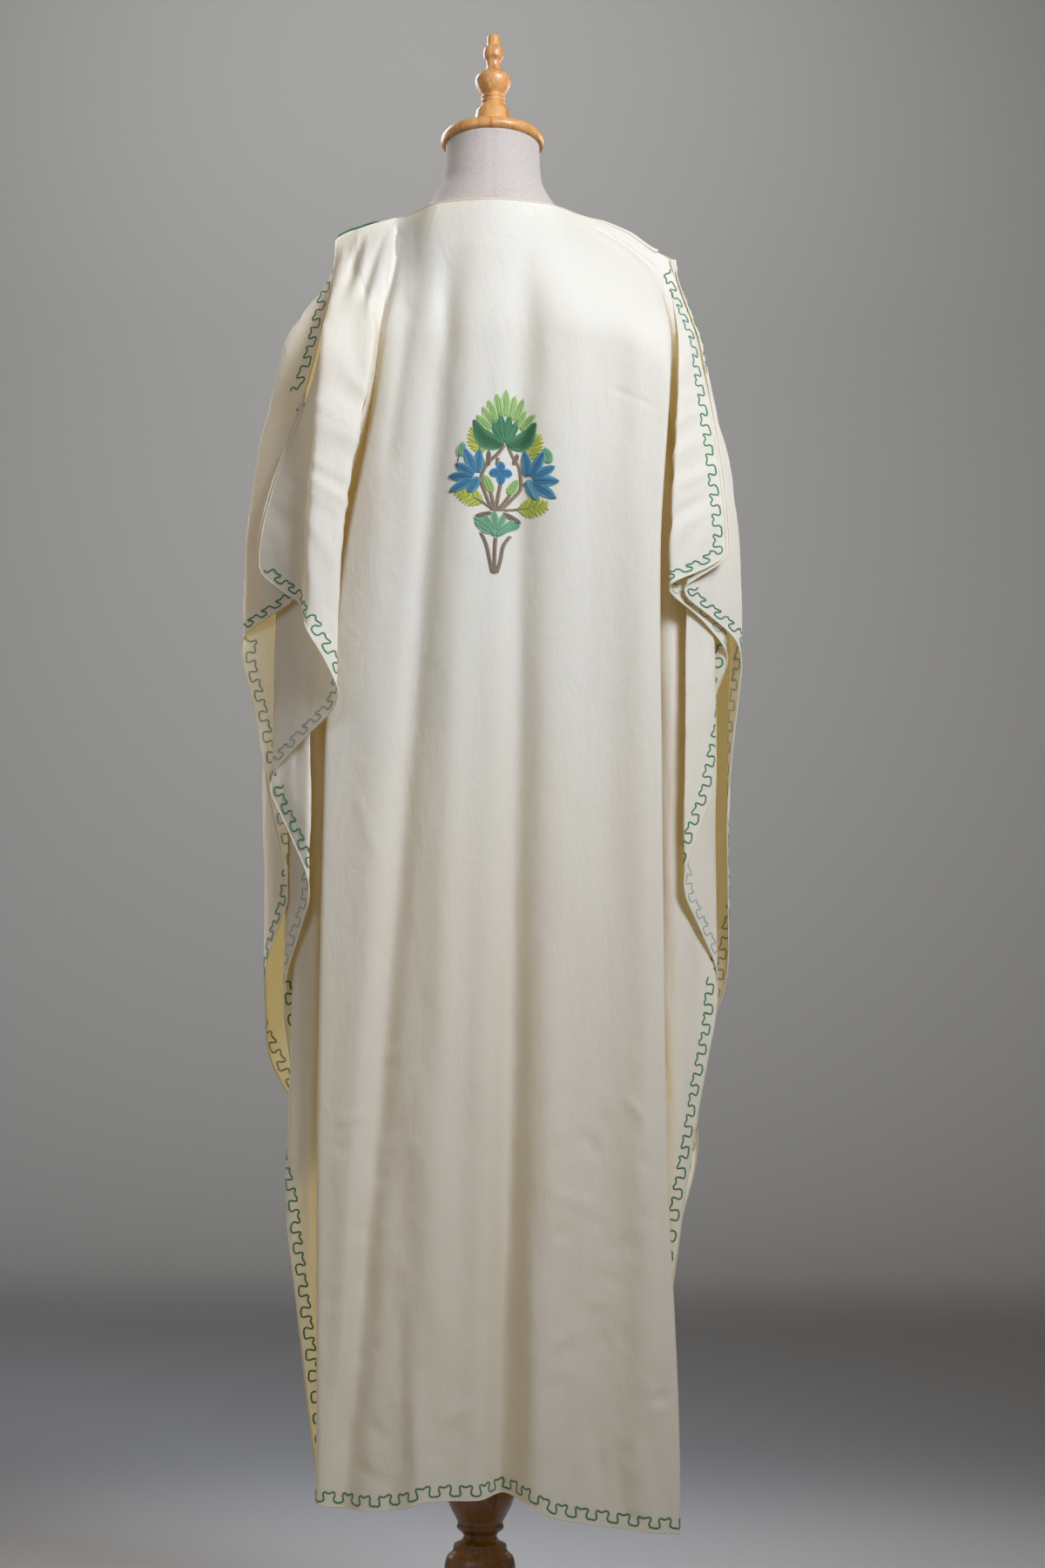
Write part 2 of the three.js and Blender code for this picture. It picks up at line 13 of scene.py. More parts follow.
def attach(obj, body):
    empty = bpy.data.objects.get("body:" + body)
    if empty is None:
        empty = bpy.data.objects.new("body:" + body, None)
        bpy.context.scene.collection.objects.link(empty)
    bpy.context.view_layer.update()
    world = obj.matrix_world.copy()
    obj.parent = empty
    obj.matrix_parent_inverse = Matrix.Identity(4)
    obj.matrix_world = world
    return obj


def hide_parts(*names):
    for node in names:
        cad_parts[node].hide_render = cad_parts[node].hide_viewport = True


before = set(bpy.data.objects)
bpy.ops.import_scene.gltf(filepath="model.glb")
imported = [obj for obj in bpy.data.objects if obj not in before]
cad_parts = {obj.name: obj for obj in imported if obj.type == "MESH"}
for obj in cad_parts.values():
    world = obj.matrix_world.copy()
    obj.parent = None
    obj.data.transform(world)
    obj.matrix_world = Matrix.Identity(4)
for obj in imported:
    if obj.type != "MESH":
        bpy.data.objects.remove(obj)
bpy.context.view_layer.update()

MM = 0.001
TINY = 1e-9


def table(names, *rows):
    """Rows of values as dictionaries with those names."""
    return [dict(zip(names.split(), row)) for row in rows]


# Camera: an 85 mm lens on a 36 mm high frame, behind the kaftan.
LENS_MM = 85.0
CAMERA_AT = (0.039, -4.040, 0.745)
CAMERA_PITCH = math.radians(3.16)
CAMERA_ROLL = math.radians(0.475)
SENSOR_HIGH = 36

SEAM_GAP = 0.7              # half the space between two cloths that meet
LIMB_SOFTNESS = 0.22        # how far a fold's round reaches towards the next fold
SIDE_SHARE = 0.07           # share of the body's width that each side fold takes
SHOULDER_TURN = 150         # how far below the ridge the cloth has left the shoulder
BODY_TOP, BODY_LONG = 1590, 1385
BODY_PASSES = 4             # rounds in which height and width of the body settle
EDGE_CALM, TOP_CALM = 0.14, 0.1     # shares of the body near its edges where folds fade
FOLD_PEAK = 1.6             # how sharply a long fold stands out
FAN_START = 12              # below the ridge the creases of the shoulder have their full depth
SEAM_PULL = 1.5             # how quickly a wing leaves the line of its seam
WING_FOOT = 206
ROW_PER_FOLD = 26           # how much one fold of the free edge counts, in rows of a wing
BODY_SOFTENING, WING_SOFTENING = 5, 3
TOP_SPACING = 0.45          # distance of the body's topmost rows, where an even one would be 1
# Where a wing's ripples fade: near the seam, near the ridge (mm) and, down to a rest, at the edge.
WING_CALM = {"seam": 6, "ridge": 120, "edge": 8, "rest": 0.35}
BODY_ROWS = 290
WING_ROWS = 270
WING_COLUMNS = 92
SIDE_COLUMNS = 14
MIDDLE_COLUMNS = 140
STATIONS = [1566, 1440, 1200, 1000, 600, 205]   # heights of the fold tables' columns

SHOULDER = {"left": {"top": 1566, "rise": 25}, "right": {"top": 1547, "rise": 9}}
# Folds of each hanging wing, from the side seam out to the top edge. free: height at which the
# free edge passes the fold. at: out, y for each height in STATIONS; a list that ends early keeps
# its last out and y down to the foot.
FOLDS = {
    ("back", "left"): table(
        "free at",
        (0, [110, -50, 122, -78, 143, -20, 143, -2, 143, -2, 141, -2]),  # seam
        (232, [118, -50, 122, -83, 184, -62, 184, -62, 184, -64, 177, -68]),  # recess
        (508, [126, -49, 122, -87, 204, -32, 205, -33, 214, -48, 216, -56]),  # tube
        (600, [134, -46, 122, -91, 198, -10, 198, -12, 200, -24, 200, -30]),  # tuck
        (735, [141, -43, 122, -95, 220, -24, 221, -26, 222, -31]),  # low_out
        (852, [148, -38, 122, -99, 184, -80, 184, -82, 186, -84]),  # low_in
        (966, [152, -33, 122, -103, 240, -41, 241, -42, 242, -44]),  # mid_out
        (1049, [157, -28, 124, -110, 146, -124, 152, -124, 154, -124]),  # mid_in
        (1122, [163, -22, 184, -112, 192, -132, 193, -132, 194, -132]),  # bright
        (1152, [168, -14, 172, -78, 197, -104, 198, -104]),  # valley
        (1199, [172, -1.1, 184, -46, 247, -68]),  # top_edge
    ),
    ("front", "left"): table(
        "free at",
        (0, [110, 50, 122, 78, 143, 20, 143, 2, 143, 2, 141, 2]),  # seam
        (240, [119, 48, 134, 92, 184, 64, 184, 64, 184, 66, 178, 70]),  # recess
        (450, [130, 44, 168, 88, 215, 80, 216, 80, 216, 80, 214, 76]),  # tube
        (600, [139, 37, 190, 68, 214, 46, 212, 46, 206, 52, 206, 50]),  # valley
        (668, [148, 32, 210, 42, 250, 34, 250, 32, 238, 40]),  # side
        (768, [156, 28, 222, 14, 239, -8, 240, -10]),  # low_out
        (856, [161, 23, 226, -4, 210, -50, 210, -51]),  # low_in
        (1114, [166, 17, 228, -22, 275, -18, 276, -18]),  # mid_out
        (1163, [170, 10, 198, -33, 201, -88, 200, -88]),  # mid_in
        (1199, [172, 1.1, 188.5, -41.5, 249.5, -64.5, 249, -65]),  # top_edge
    ),
    ("back", "right"): table(
        "free at",
        (0, [186, -26, 178, -58, 151, -12, 151, -2]),  # seam
        (420, [187, -24, 184, -56, 203, -60, 203, -60, 204, -64, 208, -68]),  # recess
        (747, [188, -22, 188, -57, 258, 4, 258, 2, 262, -24]),  # low_out
        (858, [189, -20, 191, -58, 209, -68, 210, -70, 211, -72]),  # low_in
        (966, [190, -18, 194, -59, 249, -47, 250, -48, 250, -50]),  # mid_out
        (1040, [191, -16, 197, -60, 240, -34]),  # tuck
        (1110, [192, -13.5, 200, -61, 265, -38]),  # high_out
        (1168, [193, -11, 203, -66, 195, -88]),  # high_in
        (1180, [194, -7, 204, -75, 195, -101]),  # high_turn
        (1219, [196.5, -1.1, 227, -44, 257, -74]),  # top_edge
    ),
    ("front", "right"): table(
        "free at",
        (0, [186, 26, 178, 58, 151, 12, 151, 2]),  # seam
        (400, [188, 24, 200, 63, 204, 64, 204, 64, 204, 66, 206, 70]),  # recess
        (560, [190, 21, 210, 72, 240, 80, 240, 80, 240, 80, 236, 76]),  # tube
        (660, [192, 18, 222, 50, 238, 46, 236, 46, 232, 50]),  # valley
        (760, [193, 15, 230, 22, 270, 24, 270, 22, 266, 12]),  # low_out
        (940, [195, 12, 232, -4, 266, -14, 262, -12]),  # low_in
        (1114, [196, 9, 233, -22, 279, -34]),  # mid_out
        (1172, [197, 5, 232, -34, 204, -88]),  # mid_in
        (1219, [199, 1.1, 230.5, -42, 260, -71]),  # top_edge
    ),
}

# Body tube between the side seams: out, y for each height in STATIONS, from seam to edge fold.
BODY_SIDES = {
    "left": {
        "seam": [108, -52, 120, -80, 140, -21, 140, -2.2, 140, -2.2, 138, -2.2],
        "recess": [106, -53, 117, -84, 152, -54, 162, -56, 166, -58, 162, -58],
        "edge": [102, -56, 112, -90, 158, -82, 176, -86, 179, -94, 176, -102],
    },
    "right": {
        "seam": [183, -26, 174, -60, 147, -13, 147, -2.2, 147, -2.2, 147, -2.2],
        "recess": [181, -27, 187, -80, 176, -58, 176, -58, 180, -60, 190, -62],
        "edge": [178, -29, 197, -102, 187, -108, 190, -109, 198, -112, 215, -116],
    },
}
# The top of the body, from the left wing to the right: across, height at the back, height at the
# front and how far the back and front edges stand from the middle plane.
TOP = table(
    "across back front y_back y_front",
    (-107, 1591, 1591, 1.3, 1.3), (-60, 1598, 1560, 50, 60), (0, 1600, 1536, 66, 82),
    (60, 1598, 1558, 50, 60), (112, 1592, 1592, 1.3, 1.3), (150, 1577, 1577, 1.3, 1.3),
    (186, 1556, 1556, 1.3, 1.3),
)
# Lower edge of the body: across, height.
HEM = table(
    "across back front",
    (-177, 199, 203), (-120, 195, 207), (-72, 201, 201), (-60, 207, 199), (0, 208, 205),
    (22, 214, 208), (50, 206, 211), (74, 193, 207), (100, 187, 203), (140, 181, 198),
    (216, 175, 196),
)
# How squarely the body's section swells from its left and its right edge.
BULGE = {"left": 1.8, "right": 2.6}
# How far the middle of the body stands back, and forward, at each height.
DEPTHS = table(
    "z back front",
    (1600, 76, 80), (1540, 104, 104), (1440, 116, 122), (1320, 116, 134), (1100, 114, 128),
    (700, 116, 124), (200, 120, 124),
)
# Long folds of the body: where they start under the shoulder and where they reach the hem,
# half width, and rise (+) or fall (-) at the top, the middle and the hem.
LONG_FOLDS = {
    "back": table(
        "from to half top mid hem",
        (-104, -142, 24, 2, 3, 5), (-36, -144, 17, -5, -11, -19), (-14, -66, 27, 3, 8, 11),
        (36, 26, 19, -4, -13, -30), (80, 66, 27, 2, 7, 12), (128, 140, 26, -2, -3, -4),
        (160, 176, 24, 0, 3, 6),
    ),
    "front": table(
        "from to half top mid hem",
        (-108, -132, 26, 3, 8, 12), (-70, -84, 18, -5, -13, -24), (-36, -40, 24, 3, 9, 12),
        (6, 10, 18, -3, -9, -14), (44, 52, 25, 3, 10, 12), (84, 98, 18, -5, -15, -27),
        (124, 146, 26, 3, 9, 13),
    ),
}
# Short creases on the body: from x, z to x, z, half width and depth (a rise where negative).
CREASES = {
    "back": table(
        "x0 z0 x1 z1 half deep",
        (-112, 1520, -74, 1452, 5, 1.6), (-72, 1575, -118, 1250, 9, 4.5),
        (120, 1392, 186, 1364, 2.2, 0.9), (-144, 962, -112, 876, 4, -1.4),
        (142, 270, 152, 190, 5, 2.2), (168, 300, 196, 196, 6, 2.0),
        (-86, 430, -78, 196, 5, 3.4), (-70, 330, -64, 206, 6, -2.6),
        (50, 520, 58, 196, 9, -4.0), (-52, 1560, -44, 1400, 9, 2.6),
        (44, 1520, 50, 1360, 11, 2.4), (-30, 300, 10, 216, 4, 1.2),
        (110, 330, 132, 200, 7, 2.4), (-160, 330, -130, 240, 5, 1.6),
    ),
    "front": table(
        "x0 z0 x1 z1 half deep",
        (92, 1540, 62, 1440, 7, 2.2), (-88, 1540, -70, 1430, 7, 2.0),
        (30, 480, 36, 200, 7, 3.0), (-120, 360, -104, 200, 6, 2.4),
        (140, 900, 120, 820, 4, 1.2), (-30, 1180, 22, 1168, 3, 0.9),
    ),
}

# Where worn cloth is crumpled: patches of small creases at random, their number and depth.
CRUMPLES = {
    "back": table(
        "x0 x1 z0 z1 count deep",
        (-165, -62, 205, 700, 54, 2.0), (62, 200, 190, 680, 56, 2.0),
        (-60, 60, 210, 460, 18, 1.1), (-150, -80, 860, 1240, 14, 0.8),
        (60, 180, 800, 1500, 14, 0.45),
    ),
    "front": table(
        "x0 x1 z0 z1 count deep",
        (-160, -50, 210, 560, 40, 1.7), (50, 190, 210, 620, 44, 1.7),
        (-120, 140, 900, 1450, 26, 0.6),
    ),
}

# Creases that fan out from the shoulder, over body and wing alike: x, z of their two ends, how far
# their middle bows out sideways, half width and depth (a rise where negative).
SHOULDER_CREASES = table(
    "x0 z0 x1 z1 bow half deep",
    (-104, 1586, -128, 1440, 9, 5, 6.0), (-112, 1584, -140, 1340, -18, 6, 9.0),
    (-108, 1580, -146, 1450, 7, 8, -5.5), (-138, 1574, -158, 1410, -10, 7, 8.5),
    (-134, 1572, -170, 1430, 2, 8, -4.5), (-96, 1586, -104, 1390, 5, 6, 3.0),
    (-86, 1590, -88, 1480, 3, 7, 2.2), (108, 1583, 192, 1516, 12, 6, 5.5),
    (172, 1550, 196, 1380, 9, 4, 6.0), (118, 1588, 192, 1534, 14, 6, -2.5),
    (92, 1580, 150, 1530, 4, 7, 1.6),
)

# Sections of the form: height, half width, half depth, how far forward its middle is.
FORM = table(
    "z wide deep y square",
    (1004, 120, 84, 0, 2.3), (1010, 128, 90, 0, 2.3), (1080, 132, 92, 0, 2.3),
    (1180, 118, 86, 4, 2.3), (1270, 112, 84, 6, 2.3), (1340, 114, 96, 8, 2.3),
    (1420, 114, 98, 4, 2.2), (1470, 124, 86, 0, 1.9), (1510, 144, 76, -2, 1.5),
    (1535, 148.6, 66.4, -2.6, 1.3), (1552, 140.4, 60.2, -2.6, 1.25),
    (1570, 118.4, 56, -2.4, 1.3), (1586, 94, 52, 0, 1.6), (1600, 76, 52, 3, 2),
    (1614, 65, 54, 7, 2), (1636, 54.5, 53, 12, 2), (1675, 52, 51, 19, 2),
)
NECK_BEND = 1600            # from this height up the form's sections tilt
NECK_TILT = math.radians(12)
SEAT_GAP = 0.3
BASE_THICK = 22
CAP_THICK = 13.5

# Turned profiles: radius, height.
STEM = [
    (0, 22.3), (42, 22.3), (44, 28), (34, 36), (25, 44), (27, 60), (33, 84),
    (38, 104), (38.5, 120), (36, 132), (29, 140), (28.5, 145), (20, 150), (18, 154), (20, 158),
    (24, 161), (25.5, 164), (24.5, 168), (28, 176), (34, 188), (36.5, 198), (35, 210), (27, 226),
    (21, 240), (19, 262), (17.5, 420), (17, 1003.4), (0, 1003.4),
]
BASE = [(0, 0), (158, 0), (165, 5), (165, 14), (158, BASE_THICK), (0, BASE_THICK)]
CAP = [(0, 0), (53, 0), (56, 2), (57.3, 6), (56.4, 10), (53.5, 12.7), (48, CAP_THICK),
       (0, CAP_THICK)]
FINIAL = [
    (0, 0), (24, 0), (25, 3), (22, 9), (20.5, 15), (19.5, 23), (18.6, 29), (15.6, 33), (13.8, 36),
    (12.6, 38), (13.8, 40), (12.6, 42.5), (13.8, 45), (12.4, 47.5), (15.2, 52), (19, 60),
    (20.2, 66), (18.6, 71), (13.4, 75), (9.6, 78), (7.4, 84), (8.2, 90), (11, 95), (11.4, 101),
    (10, 106), (7.6, 109.5), (7.4, 119.5), (5.8, 122), (0, 122),
]


# ---------------------------------------------------------------- curves and meshes

def through(xs, ys, x):
    """Smooth, never overshooting curve through the points, at every x (xs rising or falling)."""
    xs = np.asarray(xs, float)
    ys = np.asarray(ys, float)
    if xs[0] > xs[-1]:
        xs, ys = xs[::-1], ys[::-1]
    x = np.clip(np.asarray(x, float), xs[0], xs[-1])
    i = np.clip(np.searchsorted(xs, x, side="right") - 1, 0, len(xs) - 2)
    rise = np.diff(ys) / np.diff(xs)
    slope = np.zeros(len(xs))
    a, b = rise[:-1], rise[1:]
    same = a * b > 0
    slope[1:-1][same] = 2 * a[same] * b[same] / (a[same] + b[same])
    w = xs[i + 1] - xs[i]
    t = (x - xs[i]) / w
    return (ys[i] * (1 + 2 * t) * (1 - t) ** 2 + ys[i + 1] * t * t * (3 - 2 * t)
            + slope[i] * w * t * (1 - t) ** 2 + slope[i + 1] * w * t * t * (t - 1))


def column(rows, name):
    return [r[name] for r in rows]


def soft(t):
    t = np.clip(t, 0, 1)
    return t * t * (3 - 2 * t)


def pair(at, z):
    """Out and y of a fold at every height z."""
    at = at + at[-2:] * (len(STATIONS) - len(at) // 2)
    return through(STATIONS, at[0::2], z), through(STATIONS, at[1::2], z)


def profile(rows, x_name, y_name, x):
    return through(column(rows, x_name), column(rows, y_name), x)


def by_halves(a, b, c, t):
    """From a by way of b to c, straight on each side of the middle."""
    return np.where(t < 0.5, a + (b - a) * (t * 2), b + (c - b) * (t * 2 - 1))


def unit(v):
    return v / np.maximum(np.linalg.norm(v, axis=-1, keepdims=True), TINY)


def lengths(line):
    """How far along a line each of its points lies."""
    return np.concatenate([[0], np.cumsum(np.linalg.norm(np.diff(line, axis=0), axis=1))])


def circle(sides):
    return np.linspace(0, 2 * np.pi, sides, endpoint=False)


def sample(grid, r, c):
    """The grid's value between its rows and columns."""
    r = np.clip(r, 0, grid.shape[0] - 1.001)
    c = np.clip(c, 0, grid.shape[1] - 1.001)
    i, j = r.astype(int), c.astype(int)
    a, b = (r - i)[..., None], (c - j)[..., None]
    return (grid[i, j] * (1 - a) * (1 - b) + grid[i + 1, j] * a * (1 - b)
            + grid[i, j + 1] * (1 - a) * b + grid[i + 1, j + 1] * a * b)


def ripple(a, b, seed, size_a, size_b, count=26):
    """Soft uneven ripple of unit height over two lengths, longer along b."""
    rng = np.random.default_rng(seed)
    total = np.zeros(np.broadcast(a, b).shape)
    for _ in range(count):
        ka = rng.normal() / size_a
        kb = rng.normal() / size_b
        total += np.cos(2 * np.pi * (a * ka + b * kb) + rng.uniform(0, 2 * np.pi))
    return total / math.sqrt(count)


def grid_normals(grid):
    """Unit normals of a grid of points."""
    return unit(np.cross(np.gradient(grid, axis=1), np.gradient(grid, axis=0)))


def soften(grid, passes):
    """Rounds the folds of each section, keeping its two ends."""
    g = grid.copy()
    for _ in range(passes):
        g[:, 1:-1] = g[:, 1:-1] * 0.5 + (g[:, :-2] + g[:, 2:]) * 0.25
    return g


def grid_faces(rows, columns, start=0, flip=False, closed=False):
    """Quads of a grid; closed joins its last column to its first."""
    faces = []
    for j in range(rows - 1):
        for i in range(columns if closed else columns - 1):
            k = (i + 1) % columns
            a, b = start + j * columns + i, start + j * columns + k
            quad = (a, b, b + columns, a + columns)
            faces.append(quad[::-1] if flip else quad)
    return faces


def capped_faces(rows, sides):
    """Quads of a closed tube, with a face at each end."""
    ends = [tuple(range(sides))[::-1], tuple(range((rows - 1) * sides, rows * sides))]
    return grid_faces(rows, sides, closed=True) + ends


def new_object(name, points, faces, look, colours=None):
    """A smooth mesh object from points in millimetres. colours: the thread's at each point, with
    painted shade.
    """
    mesh = bpy.data.meshes.new(name)
    mesh.from_pydata((np.asarray(points) * MM).tolist(), [], faces)
    if colours is not None:
        layer = mesh.color_attributes.new("thread", "FLOAT_COLOR", "POINT")
        rgba = np.ones((len(points), 4))
        rgba[:, :3] = colours
        layer.data.foreach_set("color", rgba.ravel())
    mesh.polygons.foreach_set("use_smooth", [True] * len(mesh.polygons))
    mesh.materials.append(look)
    mesh.update()
    obj = bpy.data.objects.new(name, mesh)
    bpy.context.scene.collection.objects.link(obj)
    return obj


def place(obj, slot, *nodes):
    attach(obj, "root")
    if nodes:
        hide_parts(*nodes)


# ---------------------------------------------------------------- the cloth's shape

def shoulder_round(drop):
    """How far the cloth has left the ridge of the shoulder, that much below it."""
    return soft(np.sqrt(np.clip(drop / SHOULDER_TURN, 0, 1)))


def fan_depth(x, z):
    """How far the creases that fan out from the shoulders push the cloth inwards."""
    rise, fade, narrow, widening = 0.16, 0.45, 0.55, 0.75
    total = np.zeros(np.shape(x))
    for c in SHOULDER_CREASES:
        s = (c["z0"] - z) / (c["z0"] - c["z1"])
        inside = np.clip(s, 0, 1)
        line = c["x0"] + (c["x1"] - c["x0"]) * inside + c["bow"] * np.sin(np.pi * inside)
        wide = c["half"] * (narrow + widening * inside)
        ends = soft(s / rise) * soft((1 - s) / fade)
        total += c["deep"] * ends * np.exp(-((x - line) / wide) ** 2)
    return total


# Limits of the creases at random: turn from upright, length, half width, mean and spread of depth.
CRUMPLE = {"seed": {"back": 41, "front": 42}, "turn": (0.15, 1.2), "long": (16, 46),
           "half": (2.6, 5.0), "deep": (0.2, 0.8)}
CREASE_END = 0.3            # share of a crease's length over which each end fades
# Fine ripples of the body: seed, size across and down, height at the top and growth to the hem.
BODY_RIPPLES = table("seed wide long high low", (0, 60, 420, 0.5, 0.9), (10, 22, 70, 0.12, 0.42))
BODY_SEEDS = {"back": 5, "front": 6}
GROWTH_FROM, GROWTH_OVER = 900, 700
# Fine ripples of the wings: seed, size along the section and down, height.
WING_RIPPLES = table("seed wide long high", (0, 60, 260, 1.1), (2, 24, 60, 0.25))
WING_SEEDS = {("back", "left"): 20, ("back", "right"): 21, ("front", "left"): 30,
              ("front", "right"): 31}


def crumples(face):
    """Short creases at random, most of them slanting, like those of worn cloth."""
    rng = np.random.default_rng(CRUMPLE["seed"][face])
    rows = []
    for patch in CRUMPLES[face]:
        for _ in range(patch["count"]):
            x, z = rng.uniform(patch["x0"], patch["x1"]), rng.uniform(patch["z0"], patch["z1"])
            angle = rng.choice([-1, 1]) * rng.uniform(*CRUMPLE["turn"])
            reach = rng.uniform(*CRUMPLE["long"])
            rows.append({"x0": x, "z0": z,
                         "x1": x + reach * math.sin(angle), "z1": z - reach * math.cos(angle),
                         "half": rng.uniform(*CRUMPLE["half"]),
                         "deep": patch["deep"] * rng.normal(*CRUMPLE["deep"])})
    return rows


def crease_depth(face, x, z):
    """How far short creases and fine ripples push the body's cloth inwards."""
    total = np.zeros(np.shape(x))
    for c in CREASES[face] + crumples(face):
        dx, dz = c["x1"] - c["x0"], c["z1"] - c["z0"]
        length = math.hypot(dx, dz)
        s = ((x - c["x0"]) * dx + (z - c["z0"]) * dz) / length
        d = ((x - c["x0"]) * dz - (z - c["z0"]) * dx) / length
        ends = soft(s / (CREASE_END * length)) * soft((length - s) / (CREASE_END * length))
        total += c["deep"] * ends * np.exp(-(d / c["half"]) ** 2)
    low = soft((GROWTH_FROM - z) / GROWTH_OVER)
    for r in BODY_RIPPLES:
        wave = ripple(x, z, BODY_SEEDS[face] + r["seed"], r["wide"], r["long"])
        total += wave * (r["high"] + r["low"] * low)
    return total


def body_point(face, u, t):
    """The body's cloth. u from the left seam (0) to the right (1), t from the top to the hem."""
    sign = -1 if face == "back" else 1
    u = np.asarray(u, float)
    t = np.asarray(t, float)
    z = BODY_TOP - BODY_LONG * t
    x = np.zeros_like(z)
    y = np.zeros_like(z)
    for _ in range(BODY_PASSES):
        edge_l = pair(BODY_SIDES["left"]["edge"], z)
        edge_r = pair(BODY_SIDES["right"]["edge"], z)
        c = np.clip((u - SIDE_SHARE) / (1 - 2 * SIDE_SHARE), 0, 1)
        x = -edge_l[0] + (edge_l[0] + edge_r[0]) * c
        edge_depth = -(edge_l[1] * (1 - c) + edge_r[1] * c)
        middle = profile(DEPTHS, "z", face, z)
        power = np.where(c < 0.5, BULGE["left"], BULGE["right"])
        depth = edge_depth + (middle - edge_depth) * (1 - np.abs(2 * c - 1) ** power)
        fade = soft((1 - np.abs(2 * c - 1)) / EDGE_CALM) * soft(t / TOP_CALM)
        for f in LONG_FOLDS[face]:
            at = f["from"] + (f["to"] - f["from"]) * t
            rise = by_halves(f["top"], f["mid"], f["hem"], t)
            depth = depth + rise * np.exp(-((x - at) / f["half"]) ** 2 * FOLD_PEAK) * fade
        depth = depth - crease_depth(face, x, z) * fade
        y = sign * depth
        for side, s in (("left", 1 - u / SIDE_SHARE), ("right", 1 - (1 - u) / SIDE_SHARE)):
            out, deep = (by_halves(*limits, s)
                         for limits in zip(*(pair(BODY_SIDES[side][k], z)
                                             for k in ("edge", "recess", "seam"))))
            x = np.where(s > 0, out * (-1 if side == "left" else 1), x)
            y = np.where(s > 0, -sign * deep, y)
        top, hem = profile(TOP, "across", face, x), profile(HEM, "across", face, x)
        z = top + (hem - top) * t
    start = profile(TOP, "across", "y_" + face, x)
    fan = fan_depth(x, z) * soft((top - z) / FAN_START) if face == "back" else 0.0
    y = sign * (start + (np.abs(y) - start) * shoulder_round(top - z) - fan)
    return np.stack([x, y, z], axis=-1)


def body_columns():
    side = np.linspace(0, SIDE_SHARE, SIDE_COLUMNS, endpoint=False)
    middle = np.linspace(SIDE_SHARE, 1 - SIDE_SHARE, MIDDLE_COLUMNS)
    return np.concatenate([side, middle, 1 - side[::-1]])


def body_rows():
    """Shares of the body's length, closer together near the top."""
    t = np.linspace(0, 1, BODY_ROWS)
    return TOP_SPACING * t + (1 - TOP_SPACING) * t * t * (1.6 - 0.6 * t)


def body_grid(face):
    t, u = np.meshgrid(body_rows(), body_columns(), indexing="ij")
    return soften(body_point(face, u, t), BODY_SOFTENING)


def free_edge(folds, z):
    return through(column(folds, "free"), range(len(folds)), z)


def wing_grid(face, side, body):
    """A hanging wing, from its seam on the body's grid out to the free edge."""
    sign = -1 if side == "left" else 1
    folds = FOLDS[(face, side)]
    top, rise = SHOULDER[side]["top"], SHOULDER[side]["rise"]
    last = len(folds) - 1
    seam = body[:, 0 if side == "left" else -1]
    order = np.argsort(seam[:, 2])

    def edge_fold(z):
        return np.where(z >= folds[last]["free"], last, np.maximum(1, free_edge(folds, z)))

    # Rows lie closer where the free edge crosses the folds quickly.
    trials = 3000
    fine = np.linspace(top, WING_FOOT, trials)
    step = np.hypot(np.diff(fine), np.diff(edge_fold(fine)) * ROW_PER_FOLD)
    reach = np.concatenate([[0], np.cumsum(step)])
    heights = np.interp(np.linspace(0, reach[-1], WING_ROWS), reach, fine)
    share = np.linspace(0, 1, WING_COLUMNS)
    z, share = np.meshgrid(heights, share, indexing="ij")
    across = share * edge_fold(heights)[:, None]
    climb = rise * (1 - share) * soft((z - STATIONS[1]) / (top - STATIONS[1]))
    drop = top - z
    z = z + climb
    limbs = np.stack([np.stack(pair(f["at"], z), axis=-1) for f in folds])

    def limb(k):
        index = np.broadcast_to(k[None, :, :, None], (1,) + k.shape + (2,))
        return np.take_along_axis(limbs, index, 0)[0]

    i = np.clip(np.floor(across).astype(int), 0, last - 1)
    straight = limb(i) + (limb(i + 1) - limb(i)) * (across - i)[..., None]
    k = np.clip(np.round(across).astype(int), 1, last - 1)
    off = across - k
    before = limb(k) + (limb(k - 1) - limb(k)) * LIMB_SOFTNESS
    after = limb(k) + (limb(k + 1) - limb(k)) * LIMB_SOFTNESS
    q = ((off + LIMB_SOFTNESS) / (2 * LIMB_SOFTNESS))[..., None]
    rounded = (before * (1 - q) + limb(k) * q) * (1 - q) + (limb(k) * (1 - q) + after * q) * q
    p = np.where((np.abs(off) < LIMB_SOFTNESS)[..., None], rounded, straight)
    turn = shoulder_round(drop)
    start = limbs[0]
    flat, flat_start = (np.sign(v) * (SEAM_GAP + (np.abs(v) - SEAM_GAP) * turn)
                        for v in (p[..., 1], start[..., 1]))
    seam_x = np.interp(z, seam[order, 2], np.abs(seam[order, 0]))
    seam_y = np.interp(z, seam[order, 2], seam[order, 1])
    pull = np.maximum(0, 1 - across / (last - 1)) ** SEAM_PULL
    x = p[..., 0] + (seam_x - start[..., 0]) * pull
    y = flat + (seam_y - flat_start) * pull
    # Both plies of a wing take the same creases, so that they stay nested.
    y = y + fan_depth(sign * x, z) * soft(drop / FAN_START) * (1 - pull) * (y < 0)
    grid = soften(np.stack([sign * x, y, z], axis=-1), WING_SOFTENING)
    length = np.cumsum(np.linalg.norm(np.diff(grid, axis=1, prepend=grid[:, :1]), axis=2), axis=1)
    seed = WING_SEEDS[(face, side)]
    puff = sum(ripple(length, grid[..., 2], seed + r["seed"], r["wide"], r["long"]) * r["high"]
               for r in WING_RIPPLES)
    calm = (soft(share * WING_CALM["seam"]) * soft(drop / WING_CALM["ridge"])
            * soft((1 - share) * WING_CALM["edge"] + WING_CALM["rest"]))
    return grid + grid_normals(grid) * (puff * calm)[..., None]


# ---------------------------------------------------------------- materials

